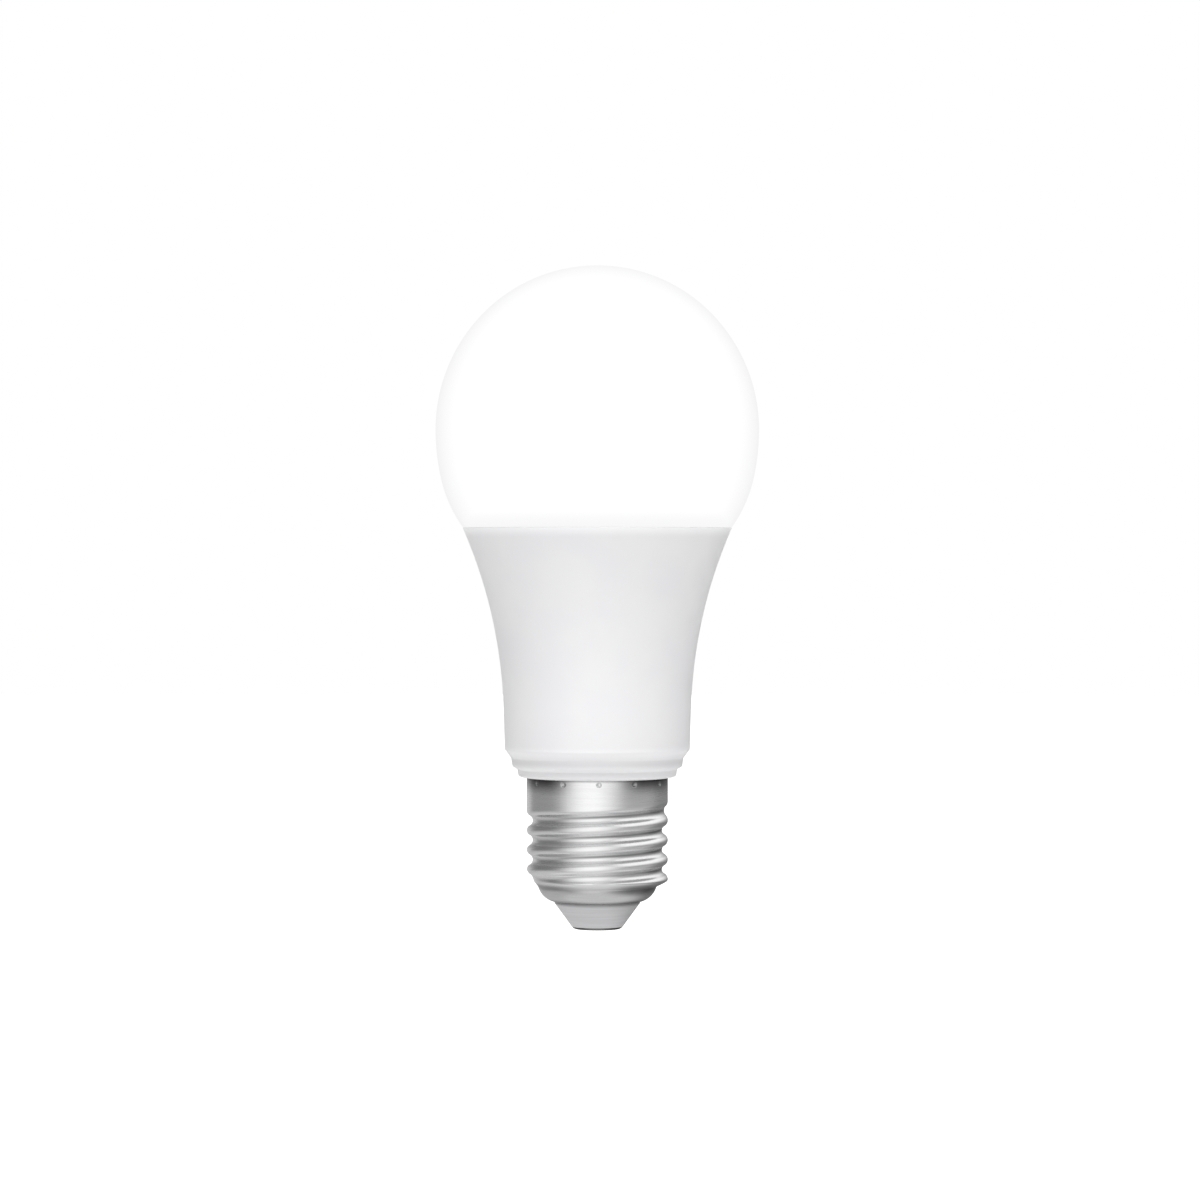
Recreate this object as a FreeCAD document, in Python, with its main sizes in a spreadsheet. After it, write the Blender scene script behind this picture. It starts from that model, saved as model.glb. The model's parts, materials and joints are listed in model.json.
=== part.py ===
import FreeCAD, Part
import math
import os

import Sketcher

# A smart LED bulb with a 60 mm globe on an E27 screw cap.
# Millimetres, +Z up. The origin is the middle of the contact face at the foot of the cap, so the
# bulb stands on z = 0 with its axis on Z. The driver board lies across Y, its front towards -Y.

SIZES = {
    # Globe of the diffuser: a crown arc on a shoulder arc, then two waist arcs down to the seam.
    "globe_radius": 30.0,
    "equator_height": 92.63,
    "shoulder_radius": 30.75,
    "waist_radius": 41.0,
    "waist_drop": 9.2,
    "throat_radius": 25.0,
    "globe_wall": 1.2,
    # Seam between diffuser and housing, with the snap skirt that drops into the housing.
    "seam_height": 74.53,
    "skirt_radius": 22.2,
    "skirt_wall": 0.9,
    "skirt_drop": 2.33,
    "bead_height": 0.35,
    "seal_thickness": 0.6,
    "seal_width": 0.7,
    # Housing: a flare arc on a slightly drafted collar, then steps down to the cap.
    "flare_radius": 89.7,
    "flare_center_radius": 107.06,
    "flare_center_height": 38.31,
    "flare_start": 41.0,
    "collar_foot_radius": 17.17,
    "collar_foot_height": 33.36,
    "housing_wall": 1.5,
    "spigot_radius": 12.75,
    "spigot_foot_radius": 11.62,
    "spigot_foot_height": 12.0,
    "spigot_bore_radius": 10.2,
    # Cap: rolled thread, plain skirt above it and a turned-in bowl below.
    "cap_radius": 13.1,
    "thread_root_radius": 12.0,
    "thread_pitch": 3.629,
    "cap_sheet": 0.3,
    "cap_skirt_foot": 24.6,
    "cap_top": 28.1,
    "bowl_radius": 3.91,
    "bowl_center_radius": 7.23,
    "bowl_center_height": 8.92,
    "bowl_joint_height": 7.9,
    "bowl_lip_radius": 8.0,
    "dimple_height": 27.35,
    # Insulator and centre contact at the foot of the cap.
    "contact_radius": 4.7,
    "contact_flat_radius": 3.9,
    "contact_thickness": 0.45,
    "contact_shank_radius": 1.15,
    "insulator_bore_radius": 1.65,
    "insulator_top": 8.6,
    # Heat sink cup, thermal layer and LED board, stacked under the diffuser.
    "plate_height": 68.9,
    "plate_thickness": 1.3,
    "cup_clearance": 0.05,
    "cup_wall": 1.0,
    "cup_foot": 42.0,
    "grease_thickness": 0.1,
    "led_board_thickness": 1.2,
    "led_board_radius": 21.3,
    "led_circle": 17.5,
    "led_length": 3.5,
    "led_width": 2.8,
    "led_height": 0.7,
    "screw_circle": 12.5,
    "screw_radius": 1.0,
    "boss_radius": 2.2,
    # Driver board and the wireless module that stands in front of it.
    "driver_front": 2.4,
    "board_thickness": 1.2,
    "driver_foot": 12.8,
    "driver_top": 68.4,
    "driver_narrow_half": 9.2,
    "driver_wide_half": 12.6,
    "module_back": -0.1,
    "module_thickness": 0.8,
    "module_half": 8.0,
    "module_foot": 61.0,
    "module_top": 79.5,
    "header_height": 62.85,
    "header_pitch": 2.54,
    "pin_side": 0.64,
    "socket_pitch": 2.5,
    "lead_radius": 0.35,
}

LED_COUNT = 9
SCREW_ANGLES = (90, 210, 330)
DIMPLE_COUNT = 12
DIMPLE_TURN = 1.5
DIMPLE_BALL = 0.5
DIMPLE_WALL = 0.22
HALF_DIAGONAL = math.sqrt(0.5)

# The thread has a crest at this height on +X. Each groove runs out while its middle climbs between
# two heights. Under the thread the wall leans in towards the bowl, by this much radius for each
# unit of height, more on +X and less on -X, and it is blended over a short length.
THREAD_START = 12.9
GROOVE_FADE = (21.4, 22.8)
NECK_SLOPE = 1.45
NECK_SLOPE_SWING = 0.65
NECK_BLEND = 0.6

document = FreeCAD.newDocument("smart_bulb")


class Size:
    """A length together with the spreadsheet formula that gives it."""

    def __init__(self, value, formula):
        self.value = value
        self.formula = formula

    def __add__(self, other):
        other = as_size(other)
        return Size(self.value + other.value, f"({self.formula} + {other.formula})")

    def __sub__(self, other):
        other = as_size(other)
        return Size(self.value - other.value, f"({self.formula} - {other.formula})")

    def __mul__(self, other):
        other = as_size(other)
        return Size(self.value * other.value, f"({self.formula} * {other.formula})")

    def __truediv__(self, other):
        other = as_size(other)
        return Size(self.value / other.value, f"({self.formula} / {other.formula})")

    def __radd__(self, other):
        return as_size(other) + self

    def __rsub__(self, other):
        return as_size(other) - self

    def __rmul__(self, other):
        return as_size(other) * self

    def __neg__(self):
        return 0 - self


def as_size(value):
    return value if isinstance(value, Size) else Size(float(value), repr(float(value)))


def plain(value):
    return value.value if isinstance(value, Size) else float(value)


def root(value):
    return Size(math.sqrt(value.value), f"sqrt({value.formula})")


def size(alias):
    return Size(SIZES[alias], f"Sizes.{alias}")


def make_sheet():
    """Write the driving dimensions into the spreadsheet, one alias a row."""
    sheet = document.addObject("Spreadsheet::Sheet", "Sizes")
    for row, (alias, value) in enumerate(SIZES.items(), start=1):
        sheet.set(f"A{row}", alias)
        sheet.set(f"B{row}", str(value))
        sheet.setAlias(f"B{row}", alias)
    document.recompute()


def bind(item, path, value):
    """Tie a property to its formula when the value comes from the sheet."""
    if isinstance(value, Size):
        item.setExpression(path, value.formula)


# ---------------------------------------------------------------- sketches and bodies


def new_body(name):
    body = document.addObject("PartDesign::Body", name)
    body.Label = name
    body.AllowCompound = True
    return body


def new_sketch(body, name, plane="XY_Plane", level=0.0):
    """Attach a sketch to one of the body's own origin planes, at a level along its normal."""
    sketch = body.newObject("Sketcher::SketchObject", f"{body.Name}_{name}")
    planes = [item for item in body.Origin.OriginFeatures if item.Role == plane]
    sketch.AttachmentSupport = [(planes[0], "")]
    sketch.MapMode = "FlatFace"
    sketch.AttachmentOffset = FreeCAD.Placement(FreeCAD.Vector(0, 0, plain(level)), FreeCAD.Rotation())
    bind(sketch, "AttachmentOffset.Base.z", level)
    return sketch


def hold_point(sketch, edge, end, x, y):
    """Fix an edge's end: on an axis where the coordinate is zero, else at its distance."""
    for axis, kind, value in ((-2, "DistanceX", x), (-1, "DistanceY", y)):
        if plain(value) == 0.0:
            sketch.addConstraint(Sketcher.Constraint("PointOnObject", edge, end, axis))
        else:
            held = sketch.addConstraint(Sketcher.Constraint(kind, edge, end, plain(value)))
            bind(sketch, f"Constraints[{held}]", value)


def arc_between(begin, end, radius, turn):
    """The arc of this radius from begin to end, turning left (1) or right (-1)."""
    chord = end - begin
    middle = (begin + end) * 0.5
    side = FreeCAD.Vector(-chord.y, chord.x, 0).normalize()
    reach = math.sqrt(max(radius ** 2 - chord.Length ** 2 / 4, 0.0))
    center = middle + side * (reach * turn)
    first, last = (begin, end) if turn > 0 else (end, begin)
    start_angle = math.atan2(first.y - center.y, first.x - center.x)
    end_angle = math.atan2(last.y - center.y, last.x - center.x)
    circle = Part.Circle(center, FreeCAD.Vector(0, 0, 1), radius)
    return Part.ArcOfCircle(circle, start_angle, end_angle)


def draw_outline(sketch, corners):
    """Draw a closed loop. A corner (x, y) is reached by a line, (x, y, radius, turn) by an arc."""
    first = sketch.GeometryCount
    points = [FreeCAD.Vector(plain(corner[0]), plain(corner[1]), 0) for corner in corners]
    ends = []
    for index, corner in enumerate(corners):
        if len(corner) == 4:
            edge = arc_between(points[index - 1], points[index], plain(corner[2]), corner[3])
            ends.append((1, 2) if corner[3] > 0 else (2, 1))
        else:
            edge = Part.LineSegment(points[index - 1], points[index])
            ends.append((1, 2))
        sketch.addGeometry(edge, False)
    for index in range(len(corners)):
        following = (index + 1) % len(corners)
        joint = (first + index, ends[index][1], first + following, ends[following][0])
        sketch.addConstraint(Sketcher.Constraint("Coincident", *joint))
    for index, corner in enumerate(corners):
        hold_point(sketch, first + index, ends[index][1], corner[0], corner[1])
        if len(corner) == 4:
            held = sketch.addConstraint(Sketcher.Constraint("Radius", first + index, plain(corner[2])))
            bind(sketch, f"Constraints[{held}]", corner[2])


def draw_rectangle(sketch, x_low, y_low, x_high, y_high):
    draw_outline(sketch, [(x_low, y_low), (x_high, y_low), (x_high, y_high), (x_low, y_high)])


def draw_circle(sketch, x, y, radius):
    center = FreeCAD.Vector(plain(x), plain(y), 0)
    edge = sketch.addGeometry(Part.Circle(center, FreeCAD.Vector(0, 0, 1), plain(radius)), False)
    held = sketch.addConstraint(Sketcher.Constraint("Radius", edge, plain(radius)))
    bind(sketch, f"Constraints[{held}]", radius)
    hold_point(sketch, edge, 3, x, y)


def revolve(body, corners):
    """Turn a profile of (radius, height) corners about the Z axis."""
    sketch = new_sketch(body, "profile", "XZ_Plane")
    draw_outline(sketch, corners)
    turned = body.newObject("PartDesign::Revolution", f"{body.Name}_turned")
    turned.Profile = sketch
    turned.ReferenceAxis = (sketch, ["V_Axis"])
    turned.Angle = 360
    return turned


def extrude(kind, body, sketch, length, reverse=False):
    """Pad or pocket a sketch by a length."""
    feature = body.newObject(f"PartDesign::{kind}", f"{sketch.Name}_{kind.lower()}")
    feature.Profile = sketch
    feature.Length = plain(length)
    bind(feature, "Length", length)
    feature.Reversed = reverse
    return feature


def pattern_round(body, features, sketch, count):
    """Repeat features evenly about the Z axis."""
    pattern = body.newObject("PartDesign::PolarPattern", f"{body.Name}_pattern")
    pattern.Originals = features
    pattern.Axis = (sketch, ["N_Axis"])
    pattern.Angle = 360
    pattern.Occurrences = count
    body.Tip = pattern
    return pattern


# ---------------------------------------------------------------- primitives and booleans


def place(item, x, y, z, rotation=None):
    base = FreeCAD.Vector(plain(x), plain(y), plain(z))
    item.Placement = FreeCAD.Placement(base, rotation or FreeCAD.Rotation())
    for axis, value in (("x", x), ("y", y), ("z", z)):
        bind(item, f"Placement.Base.{axis}", value)
    return item


def set_sizes(item, **values):
    for name, value in values.items():
        setattr(item, name, plain(value))
        bind(item, name, value)


def make_box(name, x, y, z):
    """A box between the low and high value of each axis."""
    item = document.addObject("Part::Box", name)
    set_sizes(item, Length=x[1] - x[0], Width=y[1] - y[0], Height=z[1] - z[0])
    return place(item, x[0], y[0], z[0])


TURNS = {
    "y": FreeCAD.Rotation(FreeCAD.Vector(1, 0, 0), -90),
    "-y": FreeCAD.Rotation(FreeCAD.Vector(1, 0, 0), 90),
    "z": FreeCAD.Rotation(),
}


def make_cylinder(name, base, axis, radius, height):
    item = document.addObject("Part::Cylinder", name)
    set_sizes(item, Radius=radius, Height=height)
    return place(item, *base, TURNS[axis])


def make_cone(name, base, axis, foot_radius, top_radius, height):
    item = document.addObject("Part::Cone", name)
    set_sizes(item, Radius1=foot_radius, Radius2=top_radius, Height=height)
    return place(item, *base, TURNS[axis])


def fuse(name, items):
    item = document.addObject("Part::MultiFuse", name)
    item.Shapes = items
    return item


def cut(name, base, tool):
    item = document.addObject("Part::Cut", name)
    item.Base = base
    item.Tool = tool
    return item


def group(name, items):
    """Separate solids of one kind, kept together as one sub-part."""
    item = document.addObject("Part::Compound", name)
    item.Links = items
    return item


def wire_solid(name, radius, bend, points):
    """A round wire along straight runs joined by tangent arcs of one bend radius."""
    corners = [FreeCAD.Vector(*[plain(value) for value in point]) for point in points]
    edges = []
    start = corners[0]
    for before, corner, after in zip(corners, corners[1:], corners[2:]):
        inward = (before - corner).normalize()
        outward = (after - corner).normalize()
        half_angle = inward.getAngle(outward) / 2
        back = bend / math.tan(half_angle)
        toward_center = (inward + outward).normalize()
        middle = corner + toward_center * (bend / math.sin(half_angle) - bend)
        arc_start = corner + inward * back
        arc_end = corner + outward * back
        edges.append(Part.makeLine(start, arc_start))
        edges.append(Part.Arc(arc_start, middle, arc_end).toShape())
        start = arc_end
    edges.append(Part.makeLine(start, corners[-1]))
    path = Part.Wire(edges)
    ring = Part.Wire(Part.makeCircle(radius, corners[0], corners[1] - corners[0]))
    item = document.addObject("Part::Feature", name)
    item.Shape = path.makePipeShell([ring], True, False)
    return item


# ---------------------------------------------------------------- shared places


def flare_radius_at(height, inset):
    """Radius of the housing's flare at a height, a distance inside its outer face."""
    radius = size("flare_radius") + inset
    rise = height - size("flare_center_height")
    return size("flare_center_radius") - root(radius * radius - rise * rise)


def plate_top():
    return size("plate_height") + size("plate_thickness")


def led_board_foot():
    return plate_top() + size("grease_thickness")


def led_board_top():
    return led_board_foot() + size("led_board_thickness")


def driver_back():
    return size("driver_front") + size("board_thickness")


def module_front():
    return size("module_back") - size("module_thickness")


# Openings that the wireless module and the output pins pass through, as (x half, y low, y high).
MODULE_SLOT = (8.5, -3.0, 0.5)
PIN_WINDOW = (5.0, 3.1, 4.7)

# Electrolytic cans in front of the driver board, as the axis's x and y, the foot and the length.
CAN_RADIUS = 4.0
INPUT_CAN = (0.0, -3.4, 15.0, 15.0)
OUTPUT_CAN = (8.2, -2.6, 44.0, 14.0)

# Other parts seated on the board's front: the drum choke's axis and the film capacitor's sides.
CHOKE = (-7.5, 38.0)
CHOKE_FLANGE = 1.4
CHOKE_LENGTH = 8.0
FILM_X = (-2.5, 7.5)
FILM_Z = (34.5, 38.5)

# The transformer's core, its legs and yokes, and the middle post inside the bobbin.
CORE_X = (-11.0, 2.0)
CORE_Z = (46.0, 59.0)
CORE_Y = (-6.6, -0.6)
CORE_LEG = 1.8
CORE_YOKE = 2.0
POST_X = (-6.0, -3.0)

# Parts that stand behind the board: a resistor along Z and the round varistor, whose disc faces Y.
RESISTOR_X = -5.0
RESISTOR_Y = 6.2
RESISTOR_Z = (15.0, 24.0)
VARISTOR_CENTER = (5.0, 40.0)
VARISTOR_RADIUS = 3.6
VARISTOR_Y = (4.4, 7.4)


def can_leads(can):
    """Where a can's two bent leads pass through the driver board, as (x, height)."""
    x, _, foot, length = can
    return [(x + side * 1.75, foot + length + 2.3) for side in (-1, 1)]


# Through-hole joints on the driver board, as (x, height).
CAN_LEADS = can_leads(INPUT_CAN) + can_leads(OUTPUT_CAN)
SEATED_LEADS = (
    [(CHOKE[0] + side * 1.8, CHOKE[1]) for side in (-1, 1)]
    + [(2.5 + side * 3.75, 36.5) for side in (-1, 1)]
    + [(x, z) for z in (CORE_Z[0] + 1.4, CORE_Z[1] - 1.4) for x in (-8.5, -4.5, -0.5)]
)
RESISTOR_LEADS = [(RESISTOR_X, RESISTOR_Z[0] - 1.1), (RESISTOR_X, RESISTOR_Z[1] + 1.1)]
VARISTOR_LEADS = [(VARISTOR_CENTER[0] + side * 2.0, 33.4) for side in (-1, 1)]
BACK_LEADS = RESISTOR_LEADS + VARISTOR_LEADS
HEADER_COLUMNS = (-2, -1, 0, 1, 2)
SOCKET_COLUMNS = (-1.5, -0.5, 0.5, 1.5)


# ---------------------------------------------------------------- covers and seals


def make_diffuser():
    body = new_body("diffuser")
    globe, equator = size("globe_radius"), size("equator_height")
    shoulder_inset = size("shoulder_radius") - globe
    shoulder, waist, throat = size("shoulder_radius"), size("waist_radius"), size("throat_radius")
    crown = shoulder - shoulder_inset * math.sqrt(2)
    crown_center = equator + shoulder_inset
    waist_cosine = root(waist * waist - size("waist_drop") * size("waist_drop")) / waist
    waist_sine = size("waist_drop") / waist
    throat_x = globe - waist + (waist - throat) * waist_cosine
    throat_z = equator - (waist - throat) * waist_sine

    def crown_end(wall):
        return [-shoulder_inset + (shoulder - wall) * HALF_DIAGONAL,
                equator + (shoulder - wall) * HALF_DIAGONAL]

    def waist_end(wall):
        return [globe - waist + (waist - wall) * waist_cosine, equator - (waist - wall) * waist_sine]

    def throat_end(wall, height):
        rise = throat_z - height
        reach = throat - wall
        return [throat_x + root(reach * reach - rise * rise), height]

    wall, seam = size("globe_wall"), size("seam_height")
    skirt, skirt_wall = size("skirt_radius"), size("skirt_wall")
    skirt_foot = seam - size("skirt_drop")
    bead = skirt_foot + 0.6
    ledge_top = seam + wall / 2
    revolve(body, [
        (0.0, crown_center + crown),
        (*crown_end(0.0), crown, -1),
        (globe, equator, shoulder, -1),
        (*waist_end(0.0), waist, -1),
        (*throat_end(0.0, seam), throat, -1),
        (skirt, seam),
        (skirt, bead + 0.4),
        (skirt + size("bead_height"), bead),
        (skirt, skirt_foot),
        (skirt - skirt_wall, skirt_foot),
        (skirt - skirt_wall, ledge_top),
        throat_end(wall, seam + 1.5),
        (*waist_end(wall), throat - wall, 1),
        (globe - wall, equator, waist - wall, 1),
        (*crown_end(wall), shoulder - wall, 1),
        (0.0, crown_center + crown - wall, crown - wall, 1),
    ])
    return body


def make_seal_ring():
    body = new_body("seal_ring")
    inner = size("skirt_radius") + 0.1
    outer = inner + size("seal_width")
    seam, foot = size("seam_height"), size("seam_height") - size("seal_thickness")
    revolve(body, [(inner, foot), (outer, foot), (outer, seam), (inner, seam)])
    return body


def make_housing():
    body = new_body("housing")
    seam, flare = size("seam_height"), size("flare_radius")
    wall, start = size("housing_wall"), size("flare_start")
    foot_radius, foot = size("collar_foot_radius"), size("collar_foot_height")
    cap_top, spigot = size("cap_top"), size("spigot_radius")
    spigot_foot, bore = size("spigot_foot_height"), size("spigot_bore_radius")
    lip, rebate = size("skirt_radius") + 0.1, seam - size("seal_thickness")
    groove, groove_foot = lip + 0.5, seam - size("skirt_drop") + 0.2
    neck, ledge, ledge_top = 11.2, 14.85, cap_top + 1.6
    step, step_foot, step_top, step_drop = 15.65, cap_top + 2.06, 15.96, 1.58
    revolve(body, [
        (flare_radius_at(seam, 0.0), seam, flare, -1),
        (lip + size("seal_width"), seam),
        (lip + size("seal_width"), rebate),
        (lip, rebate),
        (lip, groove_foot + 0.8),
        (groove, groove_foot + 0.6),
        (groove, groove_foot),
        (flare_radius_at(groove_foot - 0.5, wall), groove_foot - 0.5),
        (flare_radius_at(start, wall), start, flare + wall, 1),
        (15.6, foot + 0.24),
        (14.3, foot - 1.36),
        (13.2, foot - 2.76),
        (neck, cap_top + 1.5),
        (neck, 24.5),
        (bore, 23.8),
        (bore, spigot_foot),
        (size("spigot_foot_radius"), spigot_foot),
        (size("spigot_foot_radius"), 23.9),
        (spigot, 24.8),
        (spigot, cap_top),
        (size("cap_radius") + 0.1, cap_top),
        (ledge - 0.35, cap_top + 0.4),
        (ledge, ledge_top),
        (step, step_foot),
        (step_top, foot - step_drop),
        (foot_radius, foot),
        (flare_radius_at(start, 0.0), start),
    ])

    ribs = new_sketch(body, "ribs", level=14.0)
    for side in (-1, 1):
        for low in (size("driver_front") - 0.9, driver_back() + 0.1):
            x_low, x_high = sorted((side * 8.6, side * 10.6))
            draw_rectangle(ribs, x_low, low, x_high, low + 0.8)
    extrude("Pad", body, ribs, 9.6)

    notch = new_sketch(body, "notch", level=spigot_foot)
    draw_rectangle(notch, -0.35, 11.15, 0.35, 12.0)
    extrude("Pocket", body, notch, 5.0, reverse=True)

    dimple = body.newObject("PartDesign::SubtractiveSphere", "housing_dimple")
    dimple.Radius = 0.8
    turn = math.radians(DIMPLE_TURN)
    reach = size("cap_radius") + 0.05
    dimple.Placement.Base = FreeCAD.Vector(
        plain(reach) * math.cos(turn), plain(reach) * math.sin(turn), SIZES["dimple_height"])
    bind(dimple, "Placement.Base.x", reach * math.cos(turn))
    bind(dimple, "Placement.Base.y", reach * math.sin(turn))
    bind(dimple, "Placement.Base.z", size("dimple_height"))
    pattern_round(body, [dimple], notch, DIMPLE_COUNT)
    return body


# ---------------------------------------------------------------- screw cap


def thread_radius(angle, height):
    """Rolled round thread: crest and root arcs of one radius, the last groove running out."""
    pitch, crest = SIZES["thread_pitch"], SIZES["cap_radius"]
    depth = crest - SIZES["thread_root_radius"]
    arc = (depth ** 2 + (pitch / 2) ** 2) / (4 * depth)
    above_crest = (height - THREAD_START - pitch * angle / (2 * math.pi)) % pitch
    offset = min(above_crest, pitch - above_crest)
    if offset <= pitch / 4:
        dip = arc - math.sqrt(arc ** 2 - offset ** 2)
    else:
        dip = depth - arc + math.sqrt(arc ** 2 - (pitch / 2 - offset) ** 2)
    groove_middle = height - above_crest + pitch / 2
    share = (groove_middle - GROOVE_FADE[0]) / (GROOVE_FADE[1] - GROOVE_FADE[0])
    share = min(1.0, max(0.0, share))
    return crest - dip * (1 - share * share * (3 - 2 * share))


def bowl_point(turn):
    """Radius and height on the bowl's arc, turned down from the horizontal."""
    radius = SIZES["bowl_center_radius"] + SIZES["bowl_radius"] * math.cos(turn)
    return radius, SIZES["bowl_center_height"] - SIZES["bowl_radius"] * math.sin(turn)


def bowl_joint_turn():
    """How far the bowl's arc has turned down where it meets the wall."""
    drop = SIZES["bowl_center_height"] - SIZES["bowl_joint_height"]
    return math.asin(drop / SIZES["bowl_radius"])


def cap_wall_radius(angle, height):
    """Outer radius of the cap above the bowl: the thread, necking in at its foot."""
    wall = thread_radius(angle, height)
    slope = NECK_SLOPE + NECK_SLOPE_SWING * math.cos(angle)
    neck = bowl_point(bowl_joint_turn())[0] + slope * (height - SIZES["bowl_joint_height"])
    overlap = max(NECK_BLEND - abs(wall - neck), 0.0) / NECK_BLEND
    return min(wall, neck) - overlap ** 2 * NECK_BLEND / 4


def cap_outer_point(angle, travel):
    """Radius and height along the cap's outer section: the bowl's arc, then the wall."""
    joint = SIZES["bowl_joint_height"]
    if travel >= joint:
        return cap_wall_radius(angle, travel), travel
    return bowl_point(bowl_joint_turn() + (joint - travel) / SIZES["bowl_radius"])


def cap_inner_point(angle, travel):
    """The outer section moved inward, square to itself, by the sheet's thickness."""
    step = 0.001
    radius_before, height_before = cap_outer_point(angle, travel - step)
    radius_after, height_after = cap_outer_point(angle, travel + step)
    radius_step, height_step = radius_after - radius_before, height_after - height_before
    length = math.hypot(radius_step, height_step)
    radius, height = cap_outer_point(angle, travel)
    sheet = SIZES["cap_sheet"]
    return radius - sheet * height_step / length, height + sheet * radius_step / length


def cap_skin_solid(section, travel_start, travel_end, seam_angle):
    """A solid bounded by one smooth closed skin through the section, capped flat at both ends."""
    columns, spacing = 48, 0.2
    rows = math.ceil((travel_end - travel_start) / spacing)
    spacing = (travel_end - travel_start) / rows
    count = rows + 3

    def point(column, row):
        angle = seam_angle + (column - 1) * 2 * math.pi / columns
        radius, height = section(angle, travel_start + (row - 1) * spacing)
        return FreeCAD.Vector(radius * math.cos(angle), radius * math.sin(angle), height)

    grid = {(i, j): point(i, j) for i in range(-1, columns + 1) for j in range(-1, count + 1)}
    smoothed = {
        (i, j): (grid[i, j] * 8 - grid[i, j - 1] - grid[i, j + 1]) * (1 / 6)
        for i in range(-1, columns + 1) for j in range(count)
    }
    poles = [
        [(smoothed[i, j] * 8 - smoothed[i - 1, j] - smoothed[i + 1, j]) * (1 / 6) for j in range(count)]
        for i in range(columns)
    ]
    surface = Part.BSplineSurface()
    surface.buildFromPolesMultsKnots(
        poles, [1] * (columns + 1), [1] * (count + 4), list(range(columns + 1)),
        [travel_start + (j - 3) * spacing for j in range(count + 4)], True, False, 3, 3)
    skin = surface.toShape(0, columns, travel_start, travel_end)
    rims = [edge for edge in skin.Edges if edge.isClosed() and edge.BoundBox.ZLength < 0.01]
    shell = Part.Shell([skin] + [Part.Face(Part.Wire([rim])) for rim in rims])
    shell.sewShape()
    return Part.Solid(shell)


def dimple_center(index):
    """Middle of one staking dimple's ball, just outside the skirt."""
    angle = math.radians(DIMPLE_TURN + 360 * index / DIMPLE_COUNT)
    reach = SIZES["cap_radius"] + 0.15
    return FreeCAD.Vector(reach * math.cos(angle), reach * math.sin(angle), SIZES["dimple_height"])


def make_screw_shell():
    """One sheet of metal: a bowl and thread between two rolled skins, then a straight skirt."""
    radius, skirt_foot, top = SIZES["cap_radius"], SIZES["cap_skirt_foot"], SIZES["cap_top"]
    bowl_sweep = math.radians(88) - bowl_joint_turn()
    travel_start = SIZES["bowl_joint_height"] - SIZES["bowl_radius"] * bowl_sweep
    seam_angle = math.radians(DIMPLE_TURN + 180 / DIMPLE_COUNT)
    outer = cap_skin_solid(cap_outer_point, travel_start, skirt_foot, seam_angle)
    inner = cap_skin_solid(cap_inner_point, travel_start, skirt_foot + 1.0, seam_angle)
    lip_foot = FreeCAD.Vector(0, 0, SIZES["bowl_center_height"] - SIZES["bowl_radius"] - 1.0)
    rolled = outer.cut([inner, Part.makeCylinder(SIZES["bowl_lip_radius"], 3.0, lip_foot)])

    ring_foot = FreeCAD.Vector(0, 0, skirt_foot)
    skirt = Part.makeCylinder(radius, top - skirt_foot, ring_foot)
    skirt = skirt.cut(Part.makeCylinder(radius - SIZES["cap_sheet"], top, ring_foot))
    dents = []
    bumps = []
    for index in range(DIMPLE_COUNT):
        bump = Part.makeSphere(DIMPLE_BALL + DIMPLE_WALL, dimple_center(index))
        bumps.append(bump.common(Part.makeCylinder(radius - 0.1, top)))
        dents.append(Part.makeSphere(DIMPLE_BALL, dimple_center(index)))
    skirt = skirt.fuse(bumps).cut(dents)
    item = document.addObject("Part::Feature", "screw_shell")
    item.Shape = rolled.fuse([skirt], 0.001).Solids[0]
    return item


def make_insulator():
    """A cone under the cap that widens into a flange lying in the bowl."""
    body = new_body("insulator")
    bore, foot, top = size("insulator_bore_radius"), size("contact_thickness"), size("insulator_top")
    lip = size("bowl_lip_radius") - 0.05
    center_radius, center_height = size("bowl_center_radius"), size("bowl_center_height")
    sweep = size("bowl_radius") - size("cap_sheet") - 0.05
    lip_reach, top_drop = lip - center_radius, center_height - top
    arc_foot = center_height - root(sweep * sweep - lip_reach * lip_reach)
    flange = center_radius + root(sweep * sweep - top_drop * top_drop)
    revolve(body, [
        (bore, foot),
        (size("contact_radius") + 0.05, foot),
        (lip, 4.85),
        (lip, arc_foot),
        (flange, top, sweep, 1),
        (bore, top),
    ])
    return body


def make_centre_contact():
    """A flat button with a curved edge, on a shank through the insulator."""
    body = new_body("centre_contact")
    rim, thickness, flat = size("contact_radius"), size("contact_thickness"), size("contact_flat_radius")
    run = rim - flat
    edge_radius = (run * run + thickness * thickness) / (2 * thickness)
    shank, tip = size("contact_shank_radius"), size("insulator_top") + 0.6
    revolve(body, [
        (0.0, 0.0),
        (flat, 0.0),
        (rim, thickness, edge_radius, 1),
        (shank, thickness),
        (shank, tip - 0.3),
        (shank - 0.3, tip),
        (0.0, tip),
    ])
    return body


# ---------------------------------------------------------------- heat sink and LED board


def draw_openings(sketch):
    half, low, high = MODULE_SLOT
    draw_rectangle(sketch, -half, low, half, high)
    half, low, high = PIN_WINDOW
    draw_rectangle(sketch, -half, low, half, high)


def screw_places():
    """Places of the three screws on their circle, as (x, y)."""
    circle = size("screw_circle")
    places = []
    for angle in SCREW_ANGLES:
        cosine = round(math.cos(math.radians(angle)), 6)
        sine = round(math.sin(math.radians(angle)), 6)
        places.append((circle * cosine if cosine else 0.0, circle * sine))
    return places


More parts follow.
